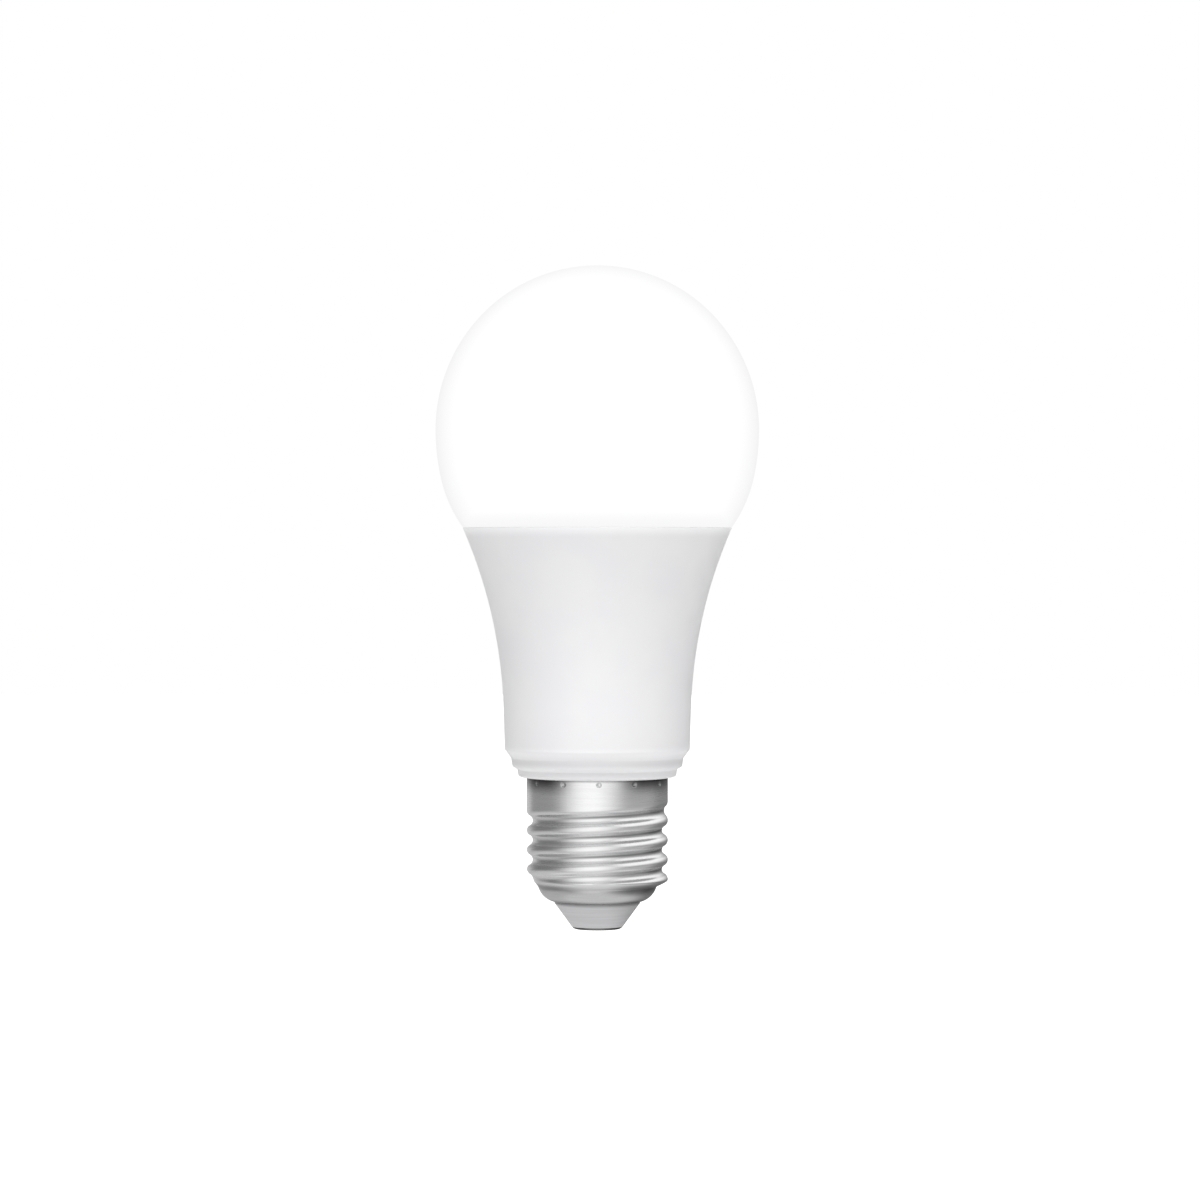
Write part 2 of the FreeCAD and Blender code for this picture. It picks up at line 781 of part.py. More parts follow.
def make_heat_sink():
    body = new_body("heat_sink")
    inset = size("housing_wall") + size("cup_clearance")
    inside = inset + size("cup_wall")
    foot, plate_foot = size("cup_foot"), size("plate_height")
    flare = size("flare_radius")
    revolve(body, [
        (0.0, plate_foot),
        (flare_radius_at(plate_foot, inside), plate_foot),
        (flare_radius_at(foot, inside), foot, flare + inside, 1),
        (flare_radius_at(foot, inset), foot),
        (flare_radius_at(plate_top(), inset), plate_top(), flare + inset, -1),
        (0.0, plate_top()),
    ])
    bosses = new_sketch(body, "bosses", level=plate_foot)
    for x, y in screw_places():
        draw_circle(bosses, x, y, size("boss_radius"))
    extrude("Pad", body, bosses, 3.0, reverse=True)
    openings = new_sketch(body, "openings", level=plate_top())
    draw_openings(openings)
    extrude("Pocket", body, openings, size("plate_thickness") + 0.5)
    bores = new_sketch(body, "bores", level=plate_top())
    for x, y in screw_places():
        draw_circle(bores, x, y, size("screw_radius") + 0.02)
    extrude("Pocket", body, bores, size("plate_thickness") + 4.0)
    return body


def make_drilled_plate(name, radius, level, thickness):
    """A round plate with the module slot, the pin window and the screw holes."""
    body = new_body(name)
    sketch = new_sketch(body, "plan", level=level)
    draw_circle(sketch, 0.0, 0.0, radius)
    draw_openings(sketch)
    for x, y in screw_places():
        draw_circle(sketch, x, y, size("screw_radius") + 0.1)
    extrude("Pad", body, sketch, thickness)
    return body


def make_thermal_grease():
    radius = size("led_board_radius") - 0.8
    return make_drilled_plate("thermal_grease", radius, plate_top(), size("grease_thickness"))


def make_led_board():
    radius = size("led_board_radius")
    return make_drilled_plate("led_board", radius, led_board_foot(), size("led_board_thickness"))


def draw_led_rectangle(sketch, inset):
    """A rectangle inside an LED package's plan, the package lying across the circle's radius."""
    middle = size("led_circle")
    half_width = size("led_width") / 2 - inset
    half_length = size("led_length") / 2 - inset
    draw_rectangle(sketch, middle - half_width, -half_length, middle + half_width, half_length)


def make_leds(name, turn):
    """Nine LED packages on the circle, each with an open well on top."""
    body = new_body(name)
    plan = new_sketch(body, "plan", level=led_board_top())
    draw_led_rectangle(plan, 0.0)
    package = extrude("Pad", body, plan, size("led_height"))
    well_plan = new_sketch(body, "well", level=led_board_top() + size("led_height"))
    draw_led_rectangle(well_plan, 0.3)
    well = extrude("Pocket", body, well_plan, size("led_height") / 2)
    pattern_round(body, [package, well], plan, LED_COUNT)
    body.Placement = FreeCAD.Placement(FreeCAD.Vector(), FreeCAD.Rotation(FreeCAD.Vector(0, 0, 1), turn))
    return body


def make_phosphor(name, turn):
    """The fills of one colour's LED wells, standing just below the package tops."""
    body = new_body(name)
    plan = new_sketch(body, "plan", level=led_board_top() + size("led_height") / 2)
    draw_led_rectangle(plan, 0.3)
    fill = extrude("Pad", body, plan, size("led_height") / 2 - 0.03)
    pattern_round(body, [fill], plan, LED_COUNT)
    body.Placement = FreeCAD.Placement(FreeCAD.Vector(), FreeCAD.Rotation(FreeCAD.Vector(0, 0, 1), turn))
    return body


def make_led_board_screws():
    screws = []
    top = led_board_top()
    for x, y in screw_places():
        head = make_cone("screw_head", (x, y, top), "z", 2.0, 1.7, 1.1)
        shank = make_cylinder("screw_shank", (x, y, top - 5.2), "z", size("screw_radius"), 5.4)
        slots = [
            make_box("screw_slot", (x - long, x + long), (y - wide, y + wide), (top + 0.5, top + 1.5))
            for long, wide in ((1.1, 0.2), (0.2, 1.1))
        ]
        solid = cut("screw_solid", fuse("screw_blank", [head, shank]), fuse("screw_cross", slots))
        screws.append(solid)
    return group("led_board_screws", screws)


# ---------------------------------------------------------------- driver board


def make_driver_board():
    body = new_body("driver_board")
    plan = new_sketch(body, "plan", "XZ_Plane", level=-driver_back())
    narrow, wide = size("driver_narrow_half"), size("driver_wide_half")
    foot, top = size("driver_foot"), size("driver_top")
    shoulder_low, shoulder_high = size("collar_foot_height") + 0.2, size("collar_foot_height") + 2.2
    draw_outline(plan, [
        (-narrow, foot),
        (narrow, foot),
        (narrow, shoulder_low),
        (wide, shoulder_high),
        (wide, top),
        (-wide, top),
        (-wide, shoulder_high),
        (-narrow, shoulder_low),
    ])
    extrude("Pad", body, plan, size("board_thickness"))
    holes = new_sketch(body, "holes", "XZ_Plane", level=-size("driver_front"))
    for x, z in CAN_LEADS + SEATED_LEADS + BACK_LEADS:
        draw_circle(holes, x, z, size("lead_radius") + 0.05)
    half = size("pin_side") / 2 + 0.04
    for column in HEADER_COLUMNS:
        x, z = size("header_pitch") * column, size("header_height")
        draw_rectangle(holes, x - half, z - half, x + half, z + half)
    extrude("Pocket", body, holes, size("board_thickness") + 1.0)
    return body


def square_pin(name, x, y, z):
    """A square pin along y or z, centred on the two other axes."""
    half = size("pin_side") / 2
    spans = [value if isinstance(value, tuple) else (value - half, value + half) for value in (x, y, z)]
    return make_box(name, *spans)


def make_output_pins():
    y = driver_back() + size("pin_side") / 2
    top = led_board_top() + 3.7
    pins = [
        square_pin("output_pin", size("socket_pitch") * column, y, (64.5, top))
        for column in SOCKET_COLUMNS
    ]
    return group("output_pins", pins)


def make_led_socket():
    """A strip on the LED board with a square well for each output pin."""
    foot = led_board_top()
    y = driver_back() + size("pin_side") / 2
    half_length, half_width, height = 5.3, 1.3, 3.5
    blank = make_box("socket_blank", (-half_length, half_length), (y - half_width, y + half_width),
                     (foot, foot + height))
    half = size("pin_side") / 2 + 0.03
    wells = []
    for column in SOCKET_COLUMNS:
        x = size("socket_pitch") * column
        across, through = (x - half, x + half), (y - half, y + half)
        wells.append(make_box("socket_well", across, through, (foot - 1, foot + 5)))
    return cut("led_socket", blank, fuse("socket_wells", wells))


def make_capacitor(name, can):
    """An electrolytic can with a crimped groove near its leads and a recess in its closed end."""
    x, y, foot, length = can
    body = make_cylinder(f"{name}_can", (x, y, foot), "z", CAN_RADIUS, length)
    groove = document.addObject("Part::Torus", f"{name}_groove")
    set_sizes(groove, Radius1=CAN_RADIUS + 0.4, Radius2=0.7)
    place(groove, x, y, foot + length - 1.8)
    recess = make_cylinder(f"{name}_recess", (x, y, foot - 0.5), "z", CAN_RADIUS - 0.8, 0.8)
    return cut(name, body, fuse(f"{name}_shaping", [groove, recess]))


def make_sleeve(name, can):
    """A thin heat-shrink tube around a capacitor can, short of its groove."""
    x, y, foot, length = can
    outer = make_cylinder(f"{name}_outer", (x, y, foot + 0.4), "z", CAN_RADIUS + 0.15, length - 2.8)
    inner = make_cylinder(f"{name}_inner", (x, y, foot - 1.0), "z", CAN_RADIUS, length + 2.0)
    return cut(name, outer, inner)


def make_component_leads():
    """Bare leads: bent ones from the two cans and the back parts, short ones under seated parts."""
    radius, bend = SIZES["lead_radius"], 0.8
    front, back = SIZES["driver_front"], plain(driver_back())
    leads = []
    for can in (INPUT_CAN, OUTPUT_CAN):
        _, y, foot, length = can
        for x, z in can_leads(can):
            leads.append(wire_solid("can_lead", radius, bend, [
                (x, y, foot + length), (x, y, z), (x, back, z)]))
    for x, z in SEATED_LEADS:
        leads.append(make_cylinder("seated_lead", (x, front, z), "y", size("lead_radius"), back - front))
    for (x, z), end in zip(RESISTOR_LEADS, RESISTOR_Z):
        leads.append(wire_solid("resistor_lead", radius, bend, [
            (x, RESISTOR_Y, end), (x, RESISTOR_Y, z), (x, front, z)]))
    varistor_y = sum(VARISTOR_Y) / 2
    for x, z in VARISTOR_LEADS:
        leads.append(wire_solid("varistor_lead", radius, bend, [
            (x, varistor_y, 36.7), (x, varistor_y, z), (x, front, z)]))
    return group("component_leads", leads)


def make_film_capacitor():
    body = new_body("film_capacitor")
    plan = new_sketch(body, "plan", "XZ_Plane", level=-size("driver_front"))
    draw_rectangle(plan, FILM_X[0], FILM_Z[0], FILM_X[1], FILM_Z[1])
    block = extrude("Pad", body, plan, 7.5)
    document.recompute()
    rounding = body.newObject("PartDesign::Fillet", "film_capacitor_rounding")
    rounding.Base = (block, [f"Edge{number + 1}" for number in range(len(block.Shape.Edges))])
    rounding.Radius = 0.5
    return body


def make_choke_core():
    """A drum core: two flanges and a waist that carries the winding."""
    x, z = CHOKE
    front = size("driver_front")
    head_foot = front - (CHOKE_LENGTH - CHOKE_FLANGE)
    spool = [
        make_cylinder("choke_foot", (x, front, z), "-y", 3.5, CHOKE_FLANGE),
        make_cylinder("choke_waist", (x, front, z), "-y", 1.8, CHOKE_LENGTH),
        make_cylinder("choke_head", (x, head_foot, z), "-y", 3.5, CHOKE_FLANGE),
    ]
    return fuse("choke_core", spool)


def make_choke_winding():
    """Layers of copper between the drum's flanges, with a valley between the outer turns."""
    x, z = CHOKE
    gap, turns, radius = 0.05, 12, 3.1
    start = SIZES["driver_front"] - CHOKE_FLANGE - gap
    length = CHOKE_LENGTH - 2 * CHOKE_FLANGE - 2 * gap
    coil = make_cylinder("choke_coil", (x, start, z), "-y", radius, length)
    tools = [make_cylinder("choke_hollow", (x, start + 1, z), "-y", 1.85, length + 2)]
    for turn in range(1, turns):
        valley = document.addObject("Part::Torus", "choke_valley")
        set_sizes(valley, Radius1=radius + 0.1, Radius2=0.15)
        place(valley, x, start - length * turn / turns, z, TURNS["-y"])
        tools.append(valley)
    return cut("choke_winding", coil, fuse("choke_tools", tools))


def make_fusible_resistor():
    """A coated barrel between two thicker ends."""
    x, y, (low, high) = RESISTOR_X, RESISTOR_Y, RESISTOR_Z
    inset, end_length = 0.6, 1.8
    barrel = make_cylinder("resistor_barrel", (x, y, low + inset), "z", 1.65, high - low - 2 * inset)
    ends = [
        make_cylinder("resistor_end", (x, y, foot), "z", 1.9, end_length)
        for foot in (low, high - end_length)
    ]
    return fuse("fusible_resistor", [barrel, *ends])


def make_varistor():
    body = new_body("varistor")
    plan = new_sketch(body, "plan", "XZ_Plane", level=-VARISTOR_Y[1])
    draw_circle(plan, *VARISTOR_CENTER, VARISTOR_RADIUS)
    disc = extrude("Pad", body, plan, VARISTOR_Y[1] - VARISTOR_Y[0])
    document.recompute()
    rims = [f"Edge{n + 1}" for n, edge in enumerate(disc.Shape.Edges) if edge.isClosed()]
    rounding = body.newObject("PartDesign::Fillet", "varistor_rounding")
    rounding.Base = (disc, rims)
    rounding.Radius = 0.9
    return body


def make_package_body(name, x, z, width, height, depth):
    """A moulded chip body on the driver board's back, narrowing away from the board."""
    back = driver_back() + 0.1
    wedge = document.addObject("Part::Wedge", name)
    taper = 0.2
    set_sizes(wedge, Xmin=-width / 2, Xmax=width / 2, Zmin=-height / 2, Zmax=height / 2,
              X2min=-width / 2 + taper, X2max=width / 2 - taper,
              Z2min=-height / 2 + taper, Z2max=height / 2 - taper, Ymin=0.0, Ymax=depth)
    return place(wedge, x, back, z)


# Places (x, height) of the surface-mount parts on the driver board's back.
BRIDGE = (0.0, 28.2)
DRIVER_IC = (5.5, 50.0)
TRANSISTORS = ((-5.5, 60.3), (-1.5, 60.3))
DIODES = ((-6.0, 52.5), (8.2, 55.5))
CHIP_RESISTORS = ((-9.5, 41.0), (-9.5, 43.4), (-5.5, 41.8), (-5.5, 44.2), (1.6, 44.9), (10.4, 47.0))
CHIP_CAPACITORS = ((-1.5, 41.0), (-1.5, 44.2), (10.4, 50.6), (-9.6, 62.4), (9.8, 63.2))


def make_bridge_rectifier():
    return make_package_body("bridge_rectifier", *BRIDGE, width=4.7, height=3.9, depth=1.5)


def make_driver_ic():
    return make_package_body("driver_ic", *DRIVER_IC, width=4.9, height=3.9, depth=1.4)


def make_dimmer_transistors():
    chips = [
        make_package_body("transistor", x, z, width=2.9, height=1.3, depth=0.9)
        for x, z in TRANSISTORS
    ]
    return group("dimmer_transistors", chips)


def make_diodes():
    chips = [make_package_body("diode", x, z, width=4.3, height=2.6, depth=2.1) for x, z in DIODES]
    return group("diodes", chips)


def make_package_leads():
    """Flat leads that come out of the chips' sides and lie on the board."""
    back = driver_back()
    feet = []

    def add_foot(x, z, width, height):
        feet.append(make_box("package_foot", (x - width / 2, x + width / 2), (back, back + 0.1),
                             (z - height / 2, z + height / 2)))

    x, z = BRIDGE
    for side in (-1, 1):
        for column in (-1.3, 1.3):
            add_foot(x + column, z + side * 2.2, 0.7, 1.6)
    x, z = DRIVER_IC
    for side in (-1, 1):
        for column in (-1.905, -0.635, 0.635, 1.905):
            add_foot(x + column, z + side * 2.4, 0.42, 1.6)
    for x, z in TRANSISTORS:
        for column, side in ((-0.95, -1), (0.95, -1), (0.0, 1)):
            add_foot(x + column, z + side * 0.8, 0.45, 0.8)
    for x, z in DIODES:
        for side in (-1, 1):
            add_foot(x + side * 2.2, z, 1.2, 1.5)
    return group("package_leads", feet)


def make_chips(name, places, depth):
    """Small two-ended chips of one size, flat on the driver board's back."""
    back, width, height = driver_back(), 2.0, 1.25
    chips = [
        make_box("chip", (x - width / 2, x + width / 2), (back, back + depth),
                 (z - height / 2, z + height / 2))
        for x, z in places
    ]
    return group(name, chips)


def make_solder_joints():
    """Solder cones over the ends of every through-hole lead."""
    height, foot, tip = 0.55, 0.85, 0.4
    joints = []
    for x, z in CAN_LEADS + SEATED_LEADS:
        joints.append(make_cone("back_joint", (x, driver_back(), z), "y", foot, tip, height))
    for x, z in BACK_LEADS:
        joints.append(make_cone("front_joint", (x, size("driver_front"), z), "-y", foot, tip, height))
    return group("solder_joints", joints)


# ---------------------------------------------------------------- transformer


def make_transformer_core():
    block = make_box("core_block", CORE_X, CORE_Y, CORE_Z)
    window_z = (CORE_Z[0] + CORE_YOKE, CORE_Z[1] - CORE_YOKE)
    windows = [
        make_box("core_window", (CORE_X[0] + CORE_LEG, POST_X[0]), (-8.0, 1.0), window_z),
        make_box("core_window", (POST_X[1], CORE_X[1] - CORE_LEG), (-8.0, 1.0), window_z),
    ]
    return cut("transformer_core", block, fuse("core_windows", windows))


def around_post(name, gap, z):
    """A block around the core's middle post, standing off it by a gap."""
    x = (POST_X[0] - gap, POST_X[1] + gap)
    return make_box(name, x, (CORE_Y[0] - gap, CORE_Y[1] + gap), z)


def make_transformer_bobbin():
    """The winding former: a tube on the post, two flanges and two rails that hold the pins."""
    low, high = CORE_Z[0] + CORE_YOKE + 0.05, CORE_Z[1] - CORE_YOKE - 0.05
    flange_x = (CORE_X[0] + CORE_LEG + 0.1, CORE_X[1] - CORE_LEG - 0.1)
    front = SIZES["driver_front"]
    pieces = [around_post("bobbin_tube", 0.6, (low, high))]
    for z in ((low, low + 0.7), (high - 0.7, high)):
        pieces.append(make_box("bobbin_flange", flange_x, (-8.8, 1.6), z))
    for z in ((CORE_Z[0] + 0.2, low + 0.7), (high - 0.7, CORE_Z[1] - 0.2)):
        pieces.append(make_box("bobbin_rail", (CORE_X[0] + 0.5, CORE_X[1] - 0.5), (-0.4, front), z))
    post_hole = around_post("post_hole", 0.05, (low - 1, high + 1))
    return cut("transformer_bobbin", fuse("bobbin_blank", pieces), post_hole)


def make_transformer_winding():
    """The wound block, with rounded corners, around the former's tube."""
    low, high = CORE_Z[0] + CORE_YOKE + 0.85, CORE_Z[1] - CORE_YOKE - 0.85
    body = new_body("transformer_winding")
    plan = new_sketch(body, "plan", level=low)
    x_low, x_high, y_low, y_high, corner = -8.8, -0.2, -8.6, 1.4, 1.2
    draw_outline(plan, [
        (x_low, y_low + corner),
        (x_low + corner, y_low, corner, 1),
        (x_high - corner, y_low),
        (x_high, y_low + corner, corner, 1),
        (x_high, y_high - corner),
        (x_high - corner, y_high, corner, 1),
        (x_low + corner, y_high),
        (x_low, y_high - corner, corner, 1),
    ])
    gap = 0.65
    draw_rectangle(plan, POST_X[0] - gap, CORE_Y[0] - gap, POST_X[1] + gap, CORE_Y[1] + gap)
    extrude("Pad", body, plan, high - low)
    return body


def make_transformer_tape():
    """One band of tape around the two core halves."""
    y = (-5.6, -1.6)
    outer = make_box("tape_outer", (CORE_X[0] - 0.1, CORE_X[1] + 0.1), y, (CORE_Z[0] - 0.1, CORE_Z[1] + 0.1))
    inner = make_box("tape_inner", CORE_X, (-7.0, 0.0), CORE_Z)
    return cut("transformer_tape", outer, inner)


# ---------------------------------------------------------------- wireless module


def make_module_board():
    body = new_body("module_board")
    plan = new_sketch(body, "plan", "XZ_Plane", level=-size("module_back"))
    half, foot, top = size("module_half"), size("module_foot"), size("module_top")
    draw_rectangle(plan, -half, foot, half, top)
    side = size("pin_side") / 2 + 0.04
    for column in HEADER_COLUMNS:
        x, z = size("header_pitch") * column, size("header_height")
        draw_rectangle(plan, x - side, z - side, x + side, z + side)
    extrude("Pad", body, plan, size("module_thickness"))
    return body


def make_module_header():
    """The spacer strip between the two boards, bored for the pins."""
    z = size("header_height")
    strip = make_box("header_strip", (-6.35, 6.35), (size("module_back"), size("driver_front")),
                     (z - 1.25, z + 1.25))
    half = size("pin_side") / 2 + 0.02
    bores = []
    for column in HEADER_COLUMNS:
        x = size("header_pitch") * column
        bores.append(make_box("header_bore", (x - half, x + half), (-1.0, 3.0), (z - half, z + half)))
    return cut("module_header", strip, fuse("header_bores", bores))


def make_module_pins():
    pins = []
    for column in HEADER_COLUMNS:
        x = size("header_pitch") * column
        pins.append(square_pin("module_pin", x, (-1.9, driver_back() + 1.0), size("header_height")))
    return group("module_pins", pins)


def make_module_shield():
    """The tin lid over the radio: a folded box, open towards the board."""
    front = module_front()
    half, depth, low, high, sheet = 5.5, 1.5, 64.8, 72.6, 0.2
    outer = make_box("shield_outer", (-half, half), (front - depth, front), (low, high))
    inner = make_box("shield_inner", (sheet - half, half - sheet), (front - depth + sheet, front + 1.0),
                     (low + sheet, high - sheet))
    return cut("module_shield", outer, inner)


def make_radio_chip():
    front = module_front()
    return make_box("radio_chip", (-4.4, 0.6), (front - 0.9, front), (66.0, 71.0))


def make_module_crystal():
    front = module_front()
    return make_box("module_crystal", (1.6, 4.1), (front - 0.7, front), (67.0, 70.2))


def make_module_antenna():
    """A flat track that runs up and down across the top of the module."""
    front = module_front()
    low, high, track, pitch, count = 73.4, 78.8, 0.5, 1.5, 10
    first = -pitch * (count - 1) / 2
    layer = (front - 0.06, front)
    bars = []
    for index in range(count):
        x = first + pitch * index
        bars.append(make_box("antenna_bar", (x - track / 2, x + track / 2), layer, (low, high)))
        if index + 1 < count:
            z = high - track if index % 2 else low
            bars.append(make_box("antenna_link", (x, x + pitch), layer, (z, z + track)))
    return fuse("module_antenna", bars)


# ---------------------------------------------------------------- wires in the cap


# Insulated leads bend at one radius. The live lead ends beside the contact's shank at a height.
WIRE_RADIUS = 0.55
WIRE_BEND = 1.4
LIVE_X = 1.4
LIVE_JOINT = 9.5
NEUTRAL_HEIGHT = 11.2
NEUTRAL_JOINT = 9.0


def make_live_wire():
    """Insulated lead from the driver board's front down to the contact's middle hole."""
    start_x, start_y = -2.5, 1.75
    return wire_solid("live_wire", WIRE_RADIUS, WIRE_BEND, [
        (start_x, start_y, 16.5), (start_x, start_y, 13.6), (LIVE_X, 0.0, 11.6), (LIVE_X, 0.0, LIVE_JOINT)])


def make_live_conductor():
    """The bare end beside the contact's shank, inside the insulator's bore."""
    foot = size("contact_thickness") + 2.0
    return make_cylinder("live_conductor", (LIVE_X, 0.0, foot), "z", 0.2, LIVE_JOINT - foot)


def make_neutral_wire():
    """Insulated lead from the driver board's back to the spigot's foot."""
    start_x, start_y = 5.5, 4.2
    return wire_solid("neutral_wire", WIRE_RADIUS, WIRE_BEND, [
        (start_x, start_y, 17.0), (start_x, start_y, 12.4),
        (0.0, 6.0, NEUTRAL_HEIGHT), (0.0, NEUTRAL_JOINT, NEUTRAL_HEIGHT)])


def make_neutral_conductor():
    """The bare end folded up into the spigot's notch, where the cap presses on it."""
    notch = 11.4
    return wire_solid("neutral_conductor", 0.22, 0.5, [
        (0.0, NEUTRAL_JOINT, NEUTRAL_HEIGHT), (0.0, notch, NEUTRAL_HEIGHT), (0.0, notch, 16.5)])


# ---------------------------------------------------------------- build, check and write

MAKERS = [
    make_diffuser,
    make_seal_ring,
    make_housing,
    make_screw_shell,
    make_insulator,
    make_centre_contact,
    make_heat_sink,
    make_thermal_grease,
    make_led_board,
    lambda: make_leds("cool_white_leds", 0),
    lambda: make_leds("warm_white_leds", 180 / LED_COUNT),
    lambda: make_phosphor("cool_white_phosphor", 0),
    lambda: make_phosphor("warm_white_phosphor", 180 / LED_COUNT),
    make_led_board_screws,
    make_led_socket,
    make_output_pins,
    make_driver_board,
    lambda: make_capacitor("input_capacitor", INPUT_CAN),
    lambda: make_sleeve("input_capacitor_sleeve", INPUT_CAN),
    lambda: make_capacitor("output_capacitor", OUTPUT_CAN),
    lambda: make_sleeve("output_capacitor_sleeve", OUTPUT_CAN),
    make_component_leads,
    make_film_capacitor,
    make_choke_core,
    make_choke_winding,
    make_fusible_resistor,
    make_varistor,
    make_bridge_rectifier,
    make_driver_ic,
    make_dimmer_transistors,
    make_diodes,
    make_package_leads,
    lambda: make_chips("chip_resistors", CHIP_RESISTORS, depth=0.5),
    lambda: make_chips("chip_capacitors", CHIP_CAPACITORS, depth=0.9),
    make_solder_joints,
    make_transformer_core,
    make_transformer_bobbin,
    make_transformer_winding,
    make_transformer_tape,
    make_module_board,
    make_module_header,
    make_module_pins,
    make_module_shield,
    make_radio_chip,
    make_module_crystal,
    make_module_antenna,
    make_live_wire,
    make_live_conductor,
    make_neutral_wire,
    make_neutral_conductor,
]


def check_document(parts):
    """Stop when any object failed to build or any sub-part isn't a sound solid."""
    for item in document.Objects:
        if {"Invalid", "Error"} & set(item.State):
            raise RuntimeError(f"{item.Name} failed: {item.State}")
    for part in parts:
        shape = part.Shape
        if shape.isNull() or not shape.isValid() or not shape.Solids:
            raise RuntimeError(f"{part.Label} has no sound solid")
        print(part.Label, len(shape.Solids), "solids", round(shape.Volume, 2), "mm3")


def write_parts(parts):
    os.makedirs("parts", exist_ok=True)
    for part in parts:
        part.Shape.exportStep(f"parts/{part.Label}.step")


make_sheet()
sub_parts = [make() for make in MAKERS]
document.recompute()
check_document(sub_parts)
write_parts(sub_parts)
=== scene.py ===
import json
import math

import bmesh
import bpy
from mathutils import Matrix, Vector


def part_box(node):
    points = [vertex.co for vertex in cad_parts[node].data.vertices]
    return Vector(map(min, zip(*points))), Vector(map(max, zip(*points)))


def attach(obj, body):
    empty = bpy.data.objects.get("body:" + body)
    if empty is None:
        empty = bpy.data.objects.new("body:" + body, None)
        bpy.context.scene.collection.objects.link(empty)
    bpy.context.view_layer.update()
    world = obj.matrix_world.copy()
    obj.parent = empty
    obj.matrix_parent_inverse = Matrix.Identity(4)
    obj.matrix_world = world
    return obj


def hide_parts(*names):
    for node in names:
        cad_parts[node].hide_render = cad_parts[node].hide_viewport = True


# A smart LED bulb, seen from the front at the height of its seam. The outer pieces are turned and
# rolled here as fine meshes that stand for their CAD nodes; the inner ones keep their CAD meshes.
# Profiles are in millimetres as (radius, height) and become metres when a mesh is made.

MM = 0.001
WHITE = (1.0, 1.0, 1.0, 1.0)

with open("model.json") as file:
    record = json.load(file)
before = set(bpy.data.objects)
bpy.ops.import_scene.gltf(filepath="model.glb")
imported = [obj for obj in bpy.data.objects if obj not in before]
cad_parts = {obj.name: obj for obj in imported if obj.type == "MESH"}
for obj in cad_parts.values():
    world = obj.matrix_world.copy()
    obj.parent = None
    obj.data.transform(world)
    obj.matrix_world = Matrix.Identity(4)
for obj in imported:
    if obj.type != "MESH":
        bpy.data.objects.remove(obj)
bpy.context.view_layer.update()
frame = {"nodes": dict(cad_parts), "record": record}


def top_of(node):
    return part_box(node)[1].z / MM


def foot_of(node):
    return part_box(node)[0].z / MM


def radius_of(node):
    """Half of a round node's smaller width."""
    low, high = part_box(node)
    return min(high.x, high.y, -low.x, -low.y) / MM


GLOBE_RADIUS = radius_of("diffuser")
GLOBE_TOP = top_of("diffuser")
SEAM = top_of("housing")
SKIRT_FOOT = foot_of("diffuser")
CAP_TOP = 28.1
CAP_RADIUS = 13.1

# ---------------------------------------------------------------- profiles and turned meshes

ON_AXIS = 1e-6
CORNER_STEPS = 4


def arc(center, radius, start, end, step):
    """Points along an arc, from one angle to another in degrees, about every step degrees."""
    count = max(2, round(abs(end - start) / step))
    points = []
    for index in range(count + 1):
        angle = math.radians(start + (end - start) * index / count)
        points.append((center[0] + radius * math.cos(angle), center[1] + radius * math.sin(angle)))
    return points


def rounded(before, corner, after, radius):
    """The small arc that softens a moulded corner."""
    start = Vector(before) - Vector(corner)
    end = Vector(after) - Vector(corner)
    start.normalize()
    end.normalize()
    half_angle = start.angle(end) / 2
    center = Vector(corner) + (start + end).normalized() * (radius / math.sin(half_angle))
    first = Vector(corner) + start * (radius / math.tan(half_angle)) - center
    turn = math.pi - 2 * half_angle
    if start.cross(end) > 0:
        turn = -turn
    points = []
    for index in range(CORNER_STEPS + 1):
        angle = turn * index / CORNER_STEPS
        spoke = Vector((first.x * math.cos(angle) - first.y * math.sin(angle),
                        first.x * math.sin(angle) + first.y * math.cos(angle)))
        points.append(tuple(center + spoke))
    return points


def soften(points):
    """Round off the corners of a closed profile whose points carry a third value, the radius."""
    result = []
    for index, point in enumerate(points):
        if len(point) == 3:
            before, after = points[index - 1], points[(index + 1) % len(points)]
            result += rounded(before[:2], point[:2], after[:2], point[2])
        else:
            result.append(point)
    return result


def mesh_piece(name, vertices, faces, sharp_angle):
    """A smooth-shaded mesh object in metres, facing outward, with its sharper edges kept crisp."""
    mesh = bpy.data.meshes.new(name)
    mesh.from_pydata([Vector(vertex) * MM for vertex in vertices], [], faces)
    outward = bmesh.new()
    outward.from_mesh(mesh)
    bmesh.ops.recalc_face_normals(outward, faces=outward.faces)
    outward.to_mesh(mesh)
    outward.free()
    mesh.validate()
    mesh.shade_smooth()
    mesh.set_sharp_from_angle(angle=math.radians(sharp_angle))
    piece = bpy.data.objects.new(name, mesh)
    bpy.context.scene.collection.objects.link(piece)
    return piece


def turned_piece(name, profile, columns=192, sharp_angle=35.0):
    """Turn a closed profile about Z. Points on the axis become one vertex each."""
    vertices = []
    rings = []
    for radius, height in profile:
        first = len(vertices)
        if radius < ON_AXIS:
            vertices.append((0.0, 0.0, height))
            rings.append([first] * columns)
        else:
            for column in range(columns):
                angle = 2 * math.pi * column / columns
                vertices.append((radius * math.cos(angle), radius * math.sin(angle), height))
            rings.append(list(range(first, first + columns)))
    faces = []
    for index, ring in enumerate(rings):
        following = rings[(index + 1) % len(rings)]
        for column in range(columns):
            right = (column + 1) % columns
            corners = [ring[column], following[column], following[right], ring[right]]
            face = [corner for place, corner in enumerate(corners) if corner not in corners[:place]]
            if len(face) > 2:
                faces.append(face)
    return mesh_piece(name, vertices, faces, sharp_angle)


# ---------------------------------------------------------------- outer pieces

